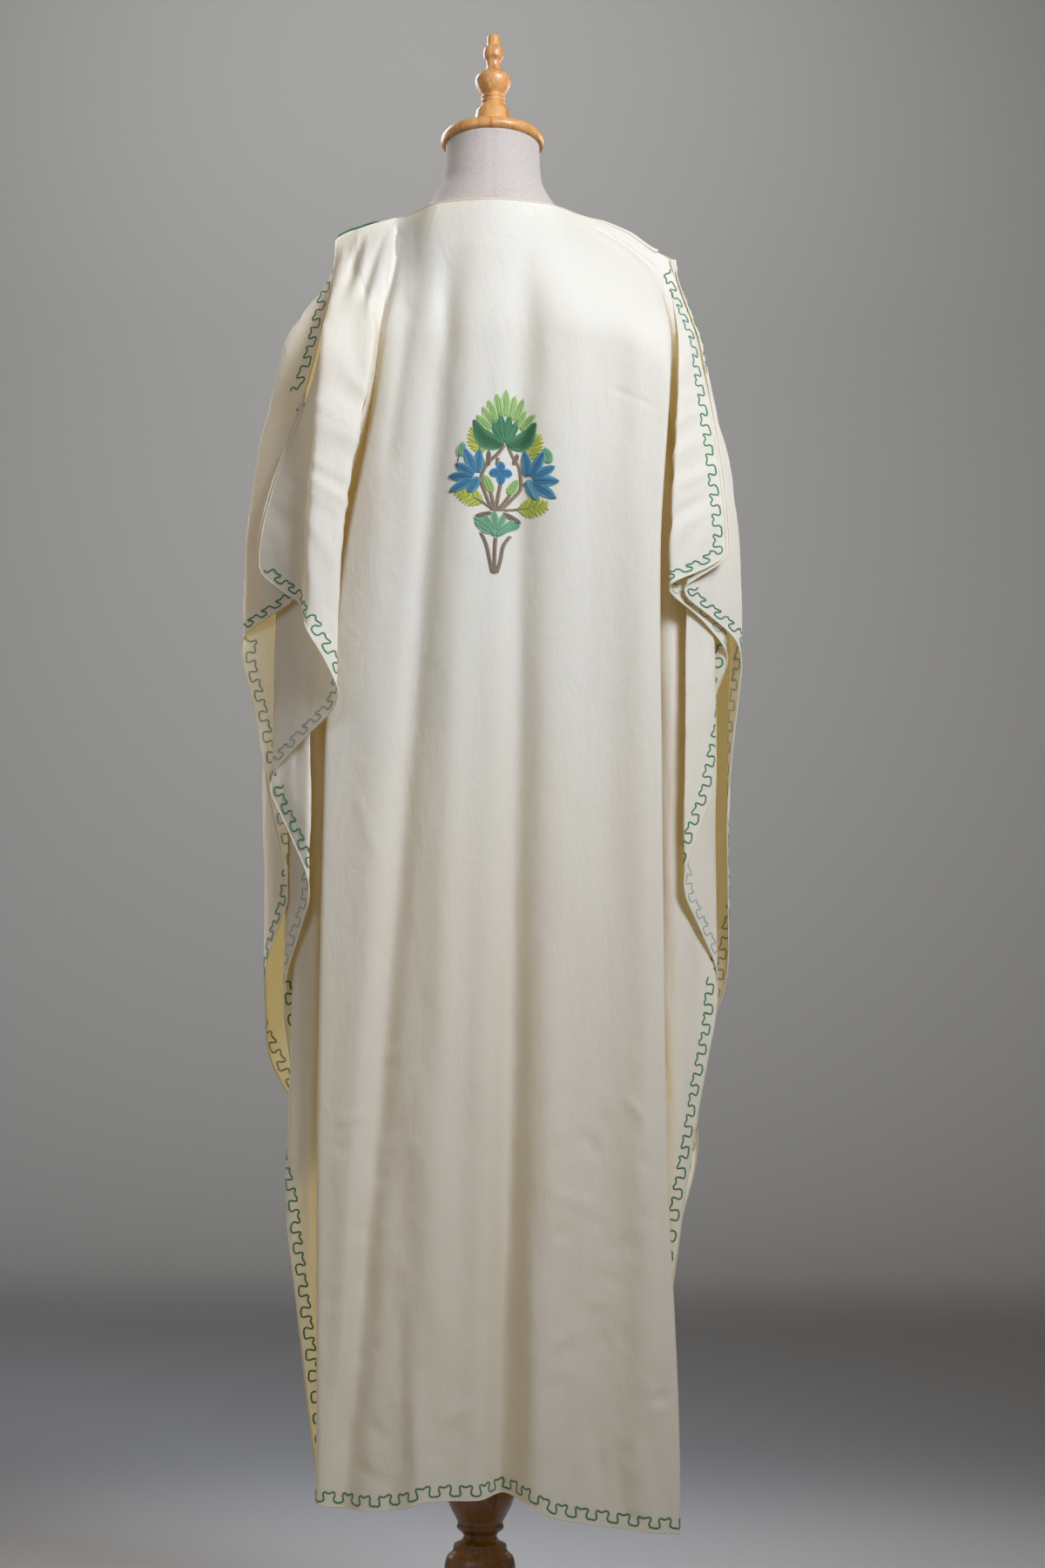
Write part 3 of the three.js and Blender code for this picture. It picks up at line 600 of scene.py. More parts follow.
def new_material(name):
    m = bpy.data.materials.new(name)
    m.use_nodes = True
    m.node_tree.nodes.clear()
    return m, m.node_tree


def node(tree, kind, sockets, **settings):
    """A shader node. Each socket takes a value, or (node, output) to link to."""
    n = tree.nodes.new("ShaderNode" + kind)
    for key, value in settings.items():
        setattr(n, key, value)
    for key, value in sockets.items():
        if isinstance(value, tuple) and isinstance(value[0], bpy.types.Node):
            tree.links.new(value[0].outputs[value[1]], n.inputs[key])
        else:
            n.inputs[key].default_value = value
    return n


def ramp(tree, factor, stops):
    n = node(tree, "ValToRGB", {"Fac": factor})
    for element, (position, colour) in zip(n.color_ramp.elements, (stops[0], stops[-1])):
        element.position, element.color = position, (*colour, 1)
    for position, colour in stops[1:-1]:
        n.color_ramp.elements.new(position).color = (*colour, 1)
    return n, "Color"


def stretched(tree, scale):
    """The object's own coordinates, times a scale for each axis."""
    coords = node(tree, "TexCoord", {})
    return node(tree, "Mapping", {"Scale": scale, "Vector": (coords, "Object")}), "Vector"


def noise(tree, detail, stretch=None, scale=1.0, **more):
    sockets = {"Scale": scale, "Detail": detail, **more}
    if stretch:
        sockets["Vector"] = stretched(tree, stretch)
    return node(tree, "TexNoise", sockets)


def multiply(tree, factor, a, b):
    sockets = {"Factor": factor, "A": a, "B": b}
    return node(tree, "Mix", sockets, data_type="RGBA", blend_type="MULTIPLY"), "Result"


def bump(tree, strength, distance, height, **more):
    sockets = {"Strength": strength, "Distance": distance, "Height": height, **more}
    return node(tree, "Bump", sockets), "Normal"


def principled(tree, colour, roughness, **more):
    """A plain finish. more: other sockets, with _ for each space in their names."""
    sockets = {key.replace("_", " "): value for key, value in more.items()}
    skin = node(tree, "BsdfPrincipled", {"Base Color": colour, "Roughness": roughness, **sockets})
    return skin, "BSDF"


def finish(tree, shader):
    node(tree, "OutputMaterial", {"Surface": shader})


def cloth_material():
    m, t = new_material("kaftan_cloth")
    tone = noise(t, 3.0, (1.6, 1.6, 0.7), 2.2, Roughness=0.5)
    colour = ramp(t, (tone, "Fac"), [(0.3, (0.875, 0.815, 0.645)), (0.7, (0.895, 0.845, 0.70))])
    slub = noise(t, 2.0, (900, 900, 60))
    tint = multiply(t, 0.10, colour, (slub, "Color"))
    # Weave, with warp and weft at right angles, and the fine wrinkles of worn crepe.
    waves = {"Scale": 520, "Vector": stretched(t, (1, 1, 1))}
    warp, weft = (node(t, "TexWave", waves, wave_type="BANDS", bands_direction=axis)
                  for axis in "XZ")
    weave = node(t, "Math", {0: (warp, "Fac"), 1: (weft, "Fac")}, operation="MULTIPLY")
    wrinkle = noise(t, 5.0, (32, 32, 13), Roughness=0.55, Distortion=1.1)
    fine = noise(t, 3.0, (230, 230, 90), Roughness=0.6)
    wrinkled = bump(t, 0.32, 0.004, (wrinkle, "Fac"))
    rough = bump(t, 0.22, 0.0008, (fine, "Fac"), Normal=wrinkled)
    woven = bump(t, 0.25, 0.0004, (weave, "Value"), Normal=rough)
    skin = principled(t, tint, 0.62, Sheen_Weight=0.12, Sheen_Roughness=0.4,
                      Specular_IOR_Level=0.32, Normal=woven)
    glow = node(t, "BsdfTranslucent", {"Color": (0.95, 0.75, 0.30, 1), "Normal": rough})
    finish(t, (node(t, "MixShader", {"Fac": 0.32, 1: skin, 2: (glow, "BSDF")}), "Shader"))
    return m


def thread_material():
    m, t = new_material("crewel_thread")
    # The colour attribute carries the thread's dye and painted shade; flecks vary its tone and a
    # warm tint goes over it.
    shade = node(t, "Attribute", {}, attribute_name="thread")
    fleck = noise(t, 2.0, scale=900.0)
    vary = ramp(t, (fleck, "Fac"), [(0.3, (0.62, 0.62, 0.62)), (0.7, (1.15, 1.15, 1.15))])
    dye_and_painted_shade = multiply(t, 1.0, multiply(t, 0.6, (shade, "Color"), vary), (1.1, 1.0, 0.82, 1))
    fuzz = bump(t, 0.5, 0.0005, (fleck, "Fac"))
    finish(t, principled(t, dye_and_painted_shade, 0.55, Sheen_Weight=0.25, Normal=fuzz))
    return m


def linen_material():
    m, t = new_material("form_linen")
    threads, cross = (noise(t, 2.0, stretch) for stretch in ((260, 260, 1500), (1500, 1500, 260)))
    weave = node(t, "Math", {0: (threads, "Fac"), 1: (cross, "Fac")}, operation="ADD"), "Value"
    colour = ramp(t, weave, [(0.75, (0.405, 0.335, 0.257)), (1.0, (0.495, 0.42, 0.335))])
    finish(t, principled(t, colour, 0.85, Sheen_Weight=0.2, Normal=bump(t, 0.5, 0.0006, weave)))
    return m


def wood_material(name, dark, light, streak, roughness):
    """Varnished wood, its streaks as long as streak says on each axis."""
    m, t = new_material(name)
    grain = noise(t, 6.0, streak, Roughness=0.6, Distortion=0.8)
    duller = tuple(v * 0.74 for v in light)
    colour = ramp(t, (grain, "Fac"), [(0.3, dark), (0.5, light), (0.72, duller)])
    pores = noise(t, 2.0, tuple(v * 9 for v in streak))
    flecks = ramp(t, (pores, "Fac"), [(0.36, (0.55, 0.5, 0.45)), (0.5, (1.0, 1.0, 1.0))])
    finish(t, principled(t, multiply(t, 0.55, colour, flecks), roughness, Coat_Weight=0.18,
                         Coat_Roughness=0.25, Normal=bump(t, 0.12, 0.0006, (grain, "Fac"))))
    return m


def stage_material(name, colour):
    m, t = new_material(name)
    mottle = noise(t, 2.0, scale=1.3)
    shade = ramp(t, (mottle, "Fac"), [(0.35, tuple(v * 0.965 for v in colour)), (0.65, colour)])
    finish(t, principled(t, shade, 0.9))
    return m


# ---------------------------------------------------------------- form and stand

def smooth_outline(outline, steps):
    """The outline, its steps rounded by a curve along its length that never overshoots."""
    radius, height = np.array(outline, float).T
    reach = np.concatenate([[0], np.cumsum(np.hypot(np.diff(radius), np.diff(height)))])
    s = np.concatenate([np.linspace(reach[i], reach[i + 1], steps, endpoint=False)
                        for i in range(1, len(reach) - 2)] + [reach[-2:-1]])
    return np.stack([through(reach[1:-1], v[1:-1], s) for v in (radius, height)], axis=1)


def turned(name, outline, look, slot, sides=96, steps=4, seat=None):
    """A turned piece that replaces its node. seat: where it stands on the tilted neck."""
    curve = smooth_outline(outline, steps)
    angle = circle(sides)
    points = np.stack([curve[:, :1] * np.cos(angle), curve[:, :1] * np.sin(angle),
                       np.repeat(curve[:, 1:], sides, axis=1)], axis=-1).reshape(-1, 3)
    if seat is not None:
        points = points @ np.array(Matrix.Rotation(-NECK_TILT, 3, "X")).T + np.array(seat)
    place(new_object(name, points, capped_faces(len(curve), sides), look), slot,
          name.replace("_turned", ""))


FORM_SIDES = 96
FORM_CHEST = 1500           # sections lie closer above this height


def build_form(look):
    heights = np.array(column(FORM, "z"), float)
    z = np.concatenate([np.linspace(heights[0], FORM_CHEST, 70, endpoint=False),
                        np.linspace(FORM_CHEST, heights[-1], 90)])
    wide, deep, middle, square = (through(heights, column(FORM, k), z)[:, None]
                                  for k in ("wide", "deep", "y", "square"))
    angle = circle(FORM_SIDES)[None, :]
    c, d = np.cos(angle), np.sin(angle)
    x = wide * np.sign(c) * np.abs(c) ** (2 / square)
    along = deep * np.sign(d) * np.abs(d) ** (2 / square)
    bent = np.maximum(0, z - NECK_BEND)[:, None] / (heights[-1] - NECK_BEND)
    height = z[:, None] - math.tan(NECK_TILT) * bent * along
    # The centre-back seam of the linen, a fine groove.
    groove_half, groove_deep = 1.2, 0.7
    seam = np.exp(-(x / groove_half) ** 2) * (along < 0) * groove_deep
    points = np.stack([x, middle + along + seam, height], axis=-1).reshape(-1, 3)
    place(new_object("form_linen_cover", points, capped_faces(len(z), FORM_SIDES), look),
          "form_linen", "dress_form")


# ---------------------------------------------------------------- embroidery

class Cloth:
    """One sheet of points, where stitches find their place by row and column."""

    def __init__(self, grid, outward):
        self.grid = grid
        self.normals = grid_normals(grid) * outward

    def at(self, r, c):
        return sample(self.grid, r, c)

    def normal(self, r, c):
        return sample(self.normals, r, c)

    def walk_in(self, r, c, inward, depth, steps=10):
        """Points on the cloth, each at a step further in from its edge, at right angles to it."""
        most_rows, most_columns = 4, 6      # that one step may cross
        still, nudge = 1e-6, 1e-3           # where rows coincide, a nudge stands in for their way
        points, normals = [self.at(r, c)], [self.normal(r, c)]
        for _ in range(steps):
            pr = self.at(r + 0.5, c) - self.at(r - 0.5, c)
            pc = self.at(r, c + 0.5) - self.at(r, c - 0.5)
            pr = np.where(np.linalg.norm(pr, axis=-1, keepdims=True) < still, nudge, pr)
            rr, rc, cc = (pr * pr).sum(-1), (pr * pc).sum(-1), (pc * pc).sum(-1)
            go = inward * (depth / steps)
            br, bc = (pr * go).sum(-1), (pc * go).sum(-1)
            det = np.maximum(rr * cc - rc * rc, TINY)
            r = np.clip(r + np.clip((br * cc - bc * rc) / det, -most_rows, most_rows),
                        0, self.grid.shape[0] - 1)
            c = np.clip(c + np.clip((bc * rr - br * rc) / det, -most_columns, most_columns),
                        0, self.grid.shape[1] - 1)
            p = self.at(r, c)
            moved = p - points[-1]
            far = np.linalg.norm(moved, axis=-1, keepdims=True) > still
            inward = np.where(far, unit(moved), inward)
            points.append(p)
            normals.append(self.normal(r, c))
        return np.stack(points, axis=1), np.stack(normals, axis=1)


STRIP_STEP = 2.0            # between the sections of a strip along an edge


def edge_strip(cloth, r, c, inner_r, inner_c, depth):
    """Strip of points along an edge: (lengths along it, points, normals), evenly spaced."""
    reach = lengths(cloth.at(r, c))
    s = np.arange(0, reach[-1], STRIP_STEP)
    r, c, inner_r, inner_c = (np.interp(s, reach, v) for v in (r, c, inner_r, inner_c))
    line = cloth.at(r, c)
    side = np.cross(cloth.normal(r, c), unit(np.gradient(line, axis=0)))
    side *= np.sign((side * (cloth.at(inner_r, inner_c) - line)).sum(-1, keepdims=True))
    return s, *cloth.walk_in(r, c, unit(side), depth)


# One repeat of the border: along, in from the band's outer line.
MEANDER = [
    (0, 0), (3.2, -0.3), (5.6, 1.2), (5.2, 4.0), (4.2, 6.6), (4.2, 9.6), (6.2, 10.9), (8.4, 9.2),
    (10.8, 8.8), (13.6, 10.4), (16.4, 11.2), (18.0, 9.4), (17.2, 6.6), (16.2, 3.8), (17.2, 1.0),
    (19.8, 0.1),
]
MEANDER_PITCH = 22.5
MEANDER_DEPTH = 11.2
MEANDER_SPREAD = 0.35       # how unevenly its points are set
BAND_INSET = 3.2
BAND_MARGIN = 1.6
LEAST_RUN = 5               # a stretch of the border with fewer points is left out
LONGEST_JUMP = 2.6          # times the usual step: further than that is another fold

# Heights of a wing's free edge that carry the border.
BORDER_SPANS = {
    ("back", "left"): [(1196, 206)],
    ("front", "left"): [(1564, 1345), (1230, 206)],
    ("back", "right"): [(1538, 206)],
    ("front", "right"): [(1538, 206)],
}


def meander_path(length, step):
    """The border's line over that length: along, in. Cutting its corners twice rounds it."""
    repeats = int(length // MEANDER_PITCH)
    if repeats < 1:
        return np.zeros((0, 2))
    pitch = length / repeats
    one = np.array(MEANDER, float)
    one[:, 0] *= pitch / MEANDER_PITCH
    rng = np.random.default_rng(int(length * 10) % 9973)
    path = np.concatenate([one + rng.normal(0, MEANDER_SPREAD, one.shape) + [k * pitch, 0]
                           for k in range(repeats)])
    for _ in range(2):
        cut = np.empty((2 * len(path) - 2, 2))
        cut[0::2] = path[:-1] * 0.75 + path[1:] * 0.25
        cut[1::2] = path[:-1] * 0.25 + path[1:] * 0.75
        path = cut
    reach = lengths(path)
    s = np.arange(0, reach[-1], step)
    return np.stack([np.interp(s, reach, path[:, 0]), np.interp(s, reach, path[:, 1])], axis=1)


def on_strip(strip, path, depth, wrong_side=False):
    """Runs of border points on the cloth, with normals. They stop where a fold turns over."""
    _, points, normals = strip
    most_r, most_c = points.shape[0] - 1.001, points.shape[1] - 1.001
    r = np.clip(path[:, 0] / STRIP_STEP, 0, most_r)
    c = np.clip((path[:, 1] + BAND_INSET) / depth * (points.shape[1] - 1), 0, most_c)
    n = unit(sample(normals, r, c)) * (-1 if wrong_side else 1)
    p = sample(points, r, c)
    flow = np.gradient(points, axis=0)
    turned_over = (flow * flow[:, :1]).sum(-1) < 0.25 * (flow[:, :1] ** 2).sum(-1)
    jump = np.linalg.norm(np.diff(p, axis=0, prepend=p[:1]), axis=1)
    bad = turned_over[r.astype(int), c.astype(int)] | (jump > LONGEST_JUMP * np.median(jump))
    runs, start = [], 0
    for k in list(np.flatnonzero(bad)) + [len(p)]:
        if k - start > LEAST_RUN:
            runs.append((p[start:k], n[start:k]))
        start = k + 1
    return runs


# Section of a row of chain stitch: across, height and painted shade, darker where low, of each
# point.
STITCH = table(
    "across high shade",
    (-1.0, -0.15, 0.8), (-0.62, 0.95, 1), (0.0, 0.78, 0.9), (0.62, 0.95, 1), (1.0, -0.15, 0.8),
)


class Stitches:
    """Collects rows of chain stitch and makes one mesh of them."""

    def __init__(self):
        self.points, self.faces, self.colours, self.count = [], [], [], 0

    def row(self, line, normal, half, height, colour, link_length=2.6, taper=0.0):
        if len(line) < 3:
            return
        side = unit(np.cross(normal, unit(np.gradient(line, axis=0))))
        reach = lengths(line)
        beat = np.abs(np.sin(np.pi * reach / link_length))
        width = half * (0.78 + 0.3 * beat)
        lift = height * (0.72 + 0.34 * beat)
        if taper:
            ends = soft(reach / taper) * soft((reach[-1] - reach) / taper)
            width = width * (0.35 + 0.65 * ends)
            lift = lift * (0.4 + 0.6 * ends)
        rings = np.stack([line + side * (width * p["across"])[:, None]
                          + normal * (lift * p["high"])[:, None] for p in STITCH], axis=1)
        self.points.append(rings.reshape(-1, 3))
        self.faces += grid_faces(len(line), len(STITCH), self.count)
        self.count += len(line) * len(STITCH)
        # Painted light and shade: each link lighter where it swells and darker where it narrows,
        # times the section's painted shade.
        shade = np.outer(0.86 + 0.2 * beat, column(STITCH, "shade")).ravel()[:, None]
        self.colours.append(np.asarray(colour) * shade)

    def build(self, name, look):
        obj = new_object(name, np.concatenate(self.points), self.faces, look,
                         np.concatenate(self.colours))
        place(obj, "kaftan_cloth")
        return obj


GREEN = (0.045, 0.21, 0.085)
MID_GREEN = (0.085, 0.30, 0.13)
WRONG_GREEN = (0.30, 0.42, 0.30)
DARK_GREEN = (0.014, 0.105, 0.035)
FRESH_GREEN = (0.25, 0.42, 0.12)
LIME = (0.44, 0.47, 0.045)
DARK_LIME = (0.26, 0.36, 0.03)
PALE_GREEN = (0.42, 0.58, 0.28)
MINT = (0.12, 0.31, 0.18)
PALE_MINT = (0.28, 0.48, 0.34)
DEEP_MINT = (0.09, 0.32, 0.20)
BLUE = (0.018, 0.135, 0.27)
BRIGHT_BLUE = (0.03, 0.26, 0.55)
PALE_BLUE = (0.12, 0.36, 0.49)
BROWN = (0.17, 0.12, 0.07)
LIGHT_BROWN = (0.27, 0.205, 0.13)


STROKE_STEP, LEAF_STEP = 0.75, 0.8      # between the sections of a row of stitches


def midrib(base, tip):
    """A leaf's base, its axis from there to its tip, the axis's length, and a unit across it."""
    base = np.array(base, float)
    axis = np.array(tip, float) - base
    length = float(np.linalg.norm(axis))
    return base, axis, length, np.array([-axis[1], axis[0]]) / length


class Motif:
    """Draws leaves, petals and stems in a flat frame and lays them on the body's cloth."""

    def __init__(self, stitches, cloth, face, centre):
        self.stitches, self.cloth, self.face, self.centre = stitches, cloth, face, centre
        self.rng = np.random.default_rng(int(abs(centre[0] * 7 + centre[1])) + 3)
        self.us, self.ts = body_columns(), body_rows()

    def lay(self, flat):
        """Where points of the flat frame lie on the cloth, with its normals."""
        x, z = self.centre[0] + flat[:, 0], self.centre[1] + flat[:, 1]
        left, right = (pair(BODY_SIDES[side]["edge"], z)[0] for side in ("left", "right"))
        u = SIDE_SHARE + (x + left) / (left + right) * (1 - 2 * SIDE_SHARE)
        top, hem = (profile(rows, "across", self.face, x) for rows in (TOP, HEM))
        r = np.interp((top - z) / (top - hem), self.ts, np.arange(len(self.ts)))
        c = np.interp(u, self.us, np.arange(len(self.us)))
        return self.cloth.at(r, c), self.cloth.normal(r, c)

    def stroke(self, path, colour, half=0.95, height=0.9, taper=1.5):
        flat = np.asarray(path, float)
        reach = lengths(flat)
        s = np.linspace(0, reach[-1], max(4, int(reach[-1] / STROKE_STEP)))
        line, normal = self.lay(np.stack([through(reach, flat[:, k], s) for k in (0, 1)], axis=1))
        tint = np.asarray(colour) * self.rng.uniform(0.86, 1.14)
        self.stitches.row(line, normal, half, height, tint, link_length=2.0, taper=taper)

    def toothed_leaf(self, base, tip, width, colour, dark):
        """A leaf of rows that slant from its midrib out to a toothed edge."""
        base, axis, length, across = midrib(base, tip)
        row_step, last_row, tooth = 2.1, 0.86, 0.16
        count = int(length / row_step)
        for side in (-1, 1):
            for k in range(count):
                t = k / count * last_row
                spread = width / 2 * math.sin(math.pi * (t * 0.92 + 0.10) ** 0.62) ** 0.9
                spread *= 1 + tooth * (k % 2)
                start = base + axis * t
                end = base + axis * min(1.02, t + 0.20 + 0.05 * (k % 2)) + across * side * spread
                bent = start * 0.45 + end * 0.55 + axis / length * 0.6
                self.stroke([start, bent, end], colour if k % 3 else dark, 1.05, 0.8, 1.2)
        self.stroke([base + axis * 0.75, base + axis], colour, 1.0, 0.8, 1.2)

    def leaf(self, base, tip, width, colour, blunt=1.0, bend=0.0, tip_colour=None):
        """A leaf or petal filled with rows that follow its outline."""
        base, axis, length, across = midrib(base, tip)
        row_width, overlap = 1.9, 1.15
        rows = max(3, int(round(width / row_width)))
        t = np.linspace(0, 1, max(6, int(length / LEAF_STEP)))
        body = (1 - np.abs(2 * t ** blunt - 1) ** 2.2) ** 0.62
        for i in range(rows):
            v = -1 + 2 * (i + 0.5) / rows
            along = 0.02 + t * (1 - 0.10 * v * v)
            off = v * width / 2 * body + bend * length * np.sin(np.pi * t)
            line, normal = self.lay(base + axis * along[:, None] + across * off[:, None])
            tone = np.asarray(colour)
            if tip_colour is not None:
                tone = tone * (1 - v * v) + np.asarray(tip_colour) * v * v
            # Painted light and shade: every other row lighter and the next darker, so that the rows
            # stand apart.
            tone = tone * ((1.16, 0.82)[i % 2] * self.rng.uniform(0.88, 1.12))
            self.stitches.row(line + normal * (0.35 + 0.55 * (1 - v * v)), normal,
                              width / rows / 2 * overlap, 0.75, tone, link_length=2.0, taper=2.5)

    def fan(self, centre, reach, width, angles, colour, inner=0.3, tip_colour=None, blunt=0.8):
        """Leaves around a centre, at angles from straight up, their lengths taken in turn."""
        c = np.array(centre, float)
        for k, angle in enumerate(angles):
            d = np.array([math.sin(math.radians(angle)), math.cos(math.radians(angle))])
            r = reach[k % len(reach)]
            self.leaf(c + d * r * inner, c + d * r, width, colour, blunt, tip_colour=tip_colour)

    def stems(self, paths, shift, half, light_half):
        """Brown stems, each with a lighter row beside it."""
        for path in paths:
            self.stroke(path, BROWN, half)
            self.stroke([(x + shift[0], z + shift[1]) for x, z in path], LIGHT_BROWN, light_half)


def sprig(m):
    """A flowering sprig of the usual Kashmiri kind."""
    crown = {"inner": 0.5, "tip_colour": PALE_GREEN, "blunt": 0.72}
    m.fan((0, 40), [41, 44], 9.5, [-47, -33, 34, 48], FRESH_GREEN, **crown)
    m.fan((0, 40), [48, 51], 10, [-22, 23], FRESH_GREEN, **crown)
    m.fan((0, 40), [52, 56, 51], 10, [-10, 1, 12], FRESH_GREEN, **crown)
    m.leaf((-2, 36), (-33, 63), 20, DARK_GREEN, 0.8, 0.18, MID_GREEN)
    m.leaf((2, 36), (33, 61), 20, DARK_GREEN, 0.8, -0.18, MID_GREEN)
    m.fan((0, 36), [33, 37, 34], 9, [-27, -9, 9, 27], GREEN, 0.1, DARK_GREEN, 0.75)
    for base, tip, width, stalk in (
            ((-25, 26), (-33, 56), 20, None), ((24, 20), (35, 50), 21, None),
            ((-22, -25), (-52, -13), 19, (-34, -20)), ((14, -32), (47, -28), 20, (27, -30))):
        m.toothed_leaf(base, tip, width, LIME, DARK_LIME)
        m.stroke([base, stalk or (base[0] * 0.7 + tip[0] * 0.3, base[1] + 9)], BROWN, 0.9)
    m.fan((-29, 2), [33, 30, 27], 11, [-118, -88, -58, -24, 4], BLUE, 0.14, PALE_BLUE)
    m.leaf((-28, 2), (-38, -15), 12, BLUE, tip_colour=PALE_BLUE)
    m.fan((26, -1), [32, 35, 31], 12, [-8, 28, 62, 92, 124], BLUE, 0.14, PALE_BLUE)
    m.leaf((24, 0), (36, -22), 12, PALE_BLUE, tip_colour=BLUE)
    m.fan((-4, 7), [12], 9.5, [0, 92, 178, 270], BLUE, 0.02, BRIGHT_BLUE, 1.0)
    m.leaf((-48, 24), (-44, 39), 10, MINT, tip_colour=PALE_MINT)
    m.leaf((49, 17), (43, 34), 11, MINT, tip_colour=PALE_MINT)
    m.stroke([(-49, 24), (-50, 17)], BROWN, 0.9)
    m.stroke([(49, 16), (48, 9)], BROWN, 0.9)
    m.leaf((-13, -14), (-21, 4), 9, FRESH_GREEN, 0.8)
    m.leaf((4, -16), (14, 0), 9.5, FRESH_GREEN, 0.8)
    m.stems([
        [(-13, -34), (-21, -16), (-26, 0), (-20, 16), (-8, 28), (-1, 38)],
        [(-6, -34), (6, -22), (17, -6), (15, 12), (7, 26), (2, 38)],
        [(-20, 14), (-24, 20), (-27, 28)],
        [(16, 6), (22, 14), (26, 24)],
        [(-25, -4), (-30, 2)],
        [(17, -6), (26, -2)],
        [(-15, -31), (-22, -26), (-33, -20)],
        [(-2, -33), (8, -32), (20, -30)],
        [(-10, -34), (-8, -20), (-5, -4)],
        [(-11, -34), (-13, -24), (-16, -12)],
        [(-9, -34), (-2, -26), (5, -16)],
        [(-9, 15), (-8, 24)],
    ], (2.1, -0.4), 1.25, 1.15)
    for base, tip, width in (((-17, 14), (-17, 31), 5), ((9, 16), (14, 28), 5.5),
                             ((-13, -36), (-31, -40), 5), ((-2, -36), (18, -46), 6)):
        m.leaf(base, tip, width, BROWN)
    m.fan((-9, -60), [26, 25], 9, [-58, -30, -4, 22, 50], MINT, 0.2, PALE_MINT)
    m.leaf((-9, -61), (-32, -42), 9, MINT, bend=-0.12)
    m.leaf((-9, -61), (17, -49), 9, DEEP_MINT, bend=0.12)
    m.stems([
        [(-26, -57), (-20, -70), (-15, -92), (-13, -101)],
        [(-10, -62), (-11, -80), (-11, -102)],
        [(6, -60), (-2, -72), (-5, -88), (-9, -101)],
    ], (2.2, 0), 1.3, 1.2)


# ---------------------------------------------------------------- assembly

def build_half(face, look):
    """The back or the front, body and wings as one sheet. Returns its object and its cloths."""
    grids = {"body": body_grid(face)}
    for side in ("left", "right"):
        grids[side] = wing_grid(face, side, grids["body"])
    outward = -1 if face == "back" else 1
    cloths, points, faces, count = {}, [], [], 0
    for name, grid in grids.items():
        cloths[name] = Cloth(grid, -outward if name == "left" else outward)
        faces += grid_faces(*grid.shape[:2], count, flip=(face == "front") == (name == "left"))
        points.append(grid.reshape(-1, 3))
        count += len(points[-1])
    obj = new_object("kaftan_" + face, np.concatenate(points), faces, look)
    place(obj, "kaftan_cloth", face + "_panel", face + "_wing_left", face + "_wing_right")
    return obj, cloths


def border(face, cloths, look):
    """The battlement border along the wings' top and free edges and the hem."""
    depth = BAND_INSET + MEANDER_DEPTH + BAND_MARGIN
    strips = []
    for side in ("left", "right"):
        cloth = cloths[side]
        edge_z = cloth.grid[:, -1, 2]
        for high, low in BORDER_SPANS[(face, side)]:
            r = np.flatnonzero((edge_z <= high) & (edge_z >= low)).astype(float)[:-1]
            c = np.full(len(r), cloth.grid.shape[1] - 1.0)
            strips.append(edge_strip(cloth, r, c, r - 2, c - 5, depth))
    rows, columns = cloths["body"].grid.shape[:2]
    c = np.arange(2, columns - 2, dtype=float)
    r = np.full(len(c), rows - 1.0)
    strips.append(edge_strip(cloths["body"], r, c, r - 3, c, depth))
    built = []
    for name, wrong_side, step, half, height, colour in (
            ("border_", False, 1.25, 1.0, 0.8, GREEN),
            ("border_wrong_side_", True, 2.0, 0.55, 0.4, WRONG_GREEN)):
        stitches = Stitches()
        for strip in strips:
            path = meander_path(strip[0][-1], step)
            for line, normal in on_strip(strip, path, depth, wrong_side):
                stitches.row(line, normal, half, height, colour)
        built.append(stitches.build(name + face, look))
    return built


# The rolled hem: half width, sides, a direction that no edge runs in, and on the right shoulder,
# where the seam has rolled over, from where, over what width and how much it stands proud.
ROLL = {"half": 0.75, "sides": 6, "aside": [0.31, 0.87, 0.39], "from": 108, "grow": 50, "rise": 1.9,
        "above": 1535}


def hem_roll(face, cloths, look):
    """The narrow rolled hem on every free edge, and on the neckline."""
    points, faces, count = [], [], 0
    for line in (cloths["left"].grid[:, -1], cloths["right"].grid[:, -1], cloths["body"].grid[-1],
                 cloths["body"].grid[0]):
        swell = soft((line[:, 0] - ROLL["from"]) / ROLL["grow"]) * (line[:, 2] > ROLL["above"])
        half = (ROLL["half"] + ROLL["rise"] * swell)[:, None]
        tangent = unit(np.gradient(line, axis=0))
        up = unit(np.cross(tangent, ROLL["aside"]))
        side = np.cross(tangent, up)
        ring = [line + up * (half * math.cos(a)) + side * (half * math.sin(a))
                for a in circle(ROLL["sides"])]
        points.append(np.stack(ring, axis=1).reshape(-1, 3))
        faces += grid_faces(len(line), ROLL["sides"], count, closed=True)
        count += len(points[-1])
    obj = new_object("rolled_hem_" + face, np.concatenate(points), faces, look)
    place(obj, "kaftan_cloth")
    return obj


def shoulder_motif(stitches, cloth):
    """Leaves on the front of the left shoulder, that reach up to its ridge and show over it."""
    shades = (MID_GREEN, DARK_GREEN, GREEN, BLUE, PALE_BLUE, BLUE, MID_GREEN)
    spans = ((-170, -140),) * 3 + ((-146, -124),) * 4
    across = cloth.grid[0, :, 0]
    for k, (colour, span) in enumerate(zip(shades, spans)):
        c = np.linspace(*(np.interp(-x, -across, np.arange(len(across))) for x in span), 40)
        line = cloth.at(np.zeros(len(c)), c) + np.array([0, 1.5 * (k % 3) - 1.0, 1.3])
        line[:, 2] += 0.6 * np.sin(np.linspace(0, np.pi, len(c)))
        stitches.row(line, np.tile([0.0, 0.0, 1.0], (len(c), 1)), 1.2, 1.4, colour, taper=4.0)


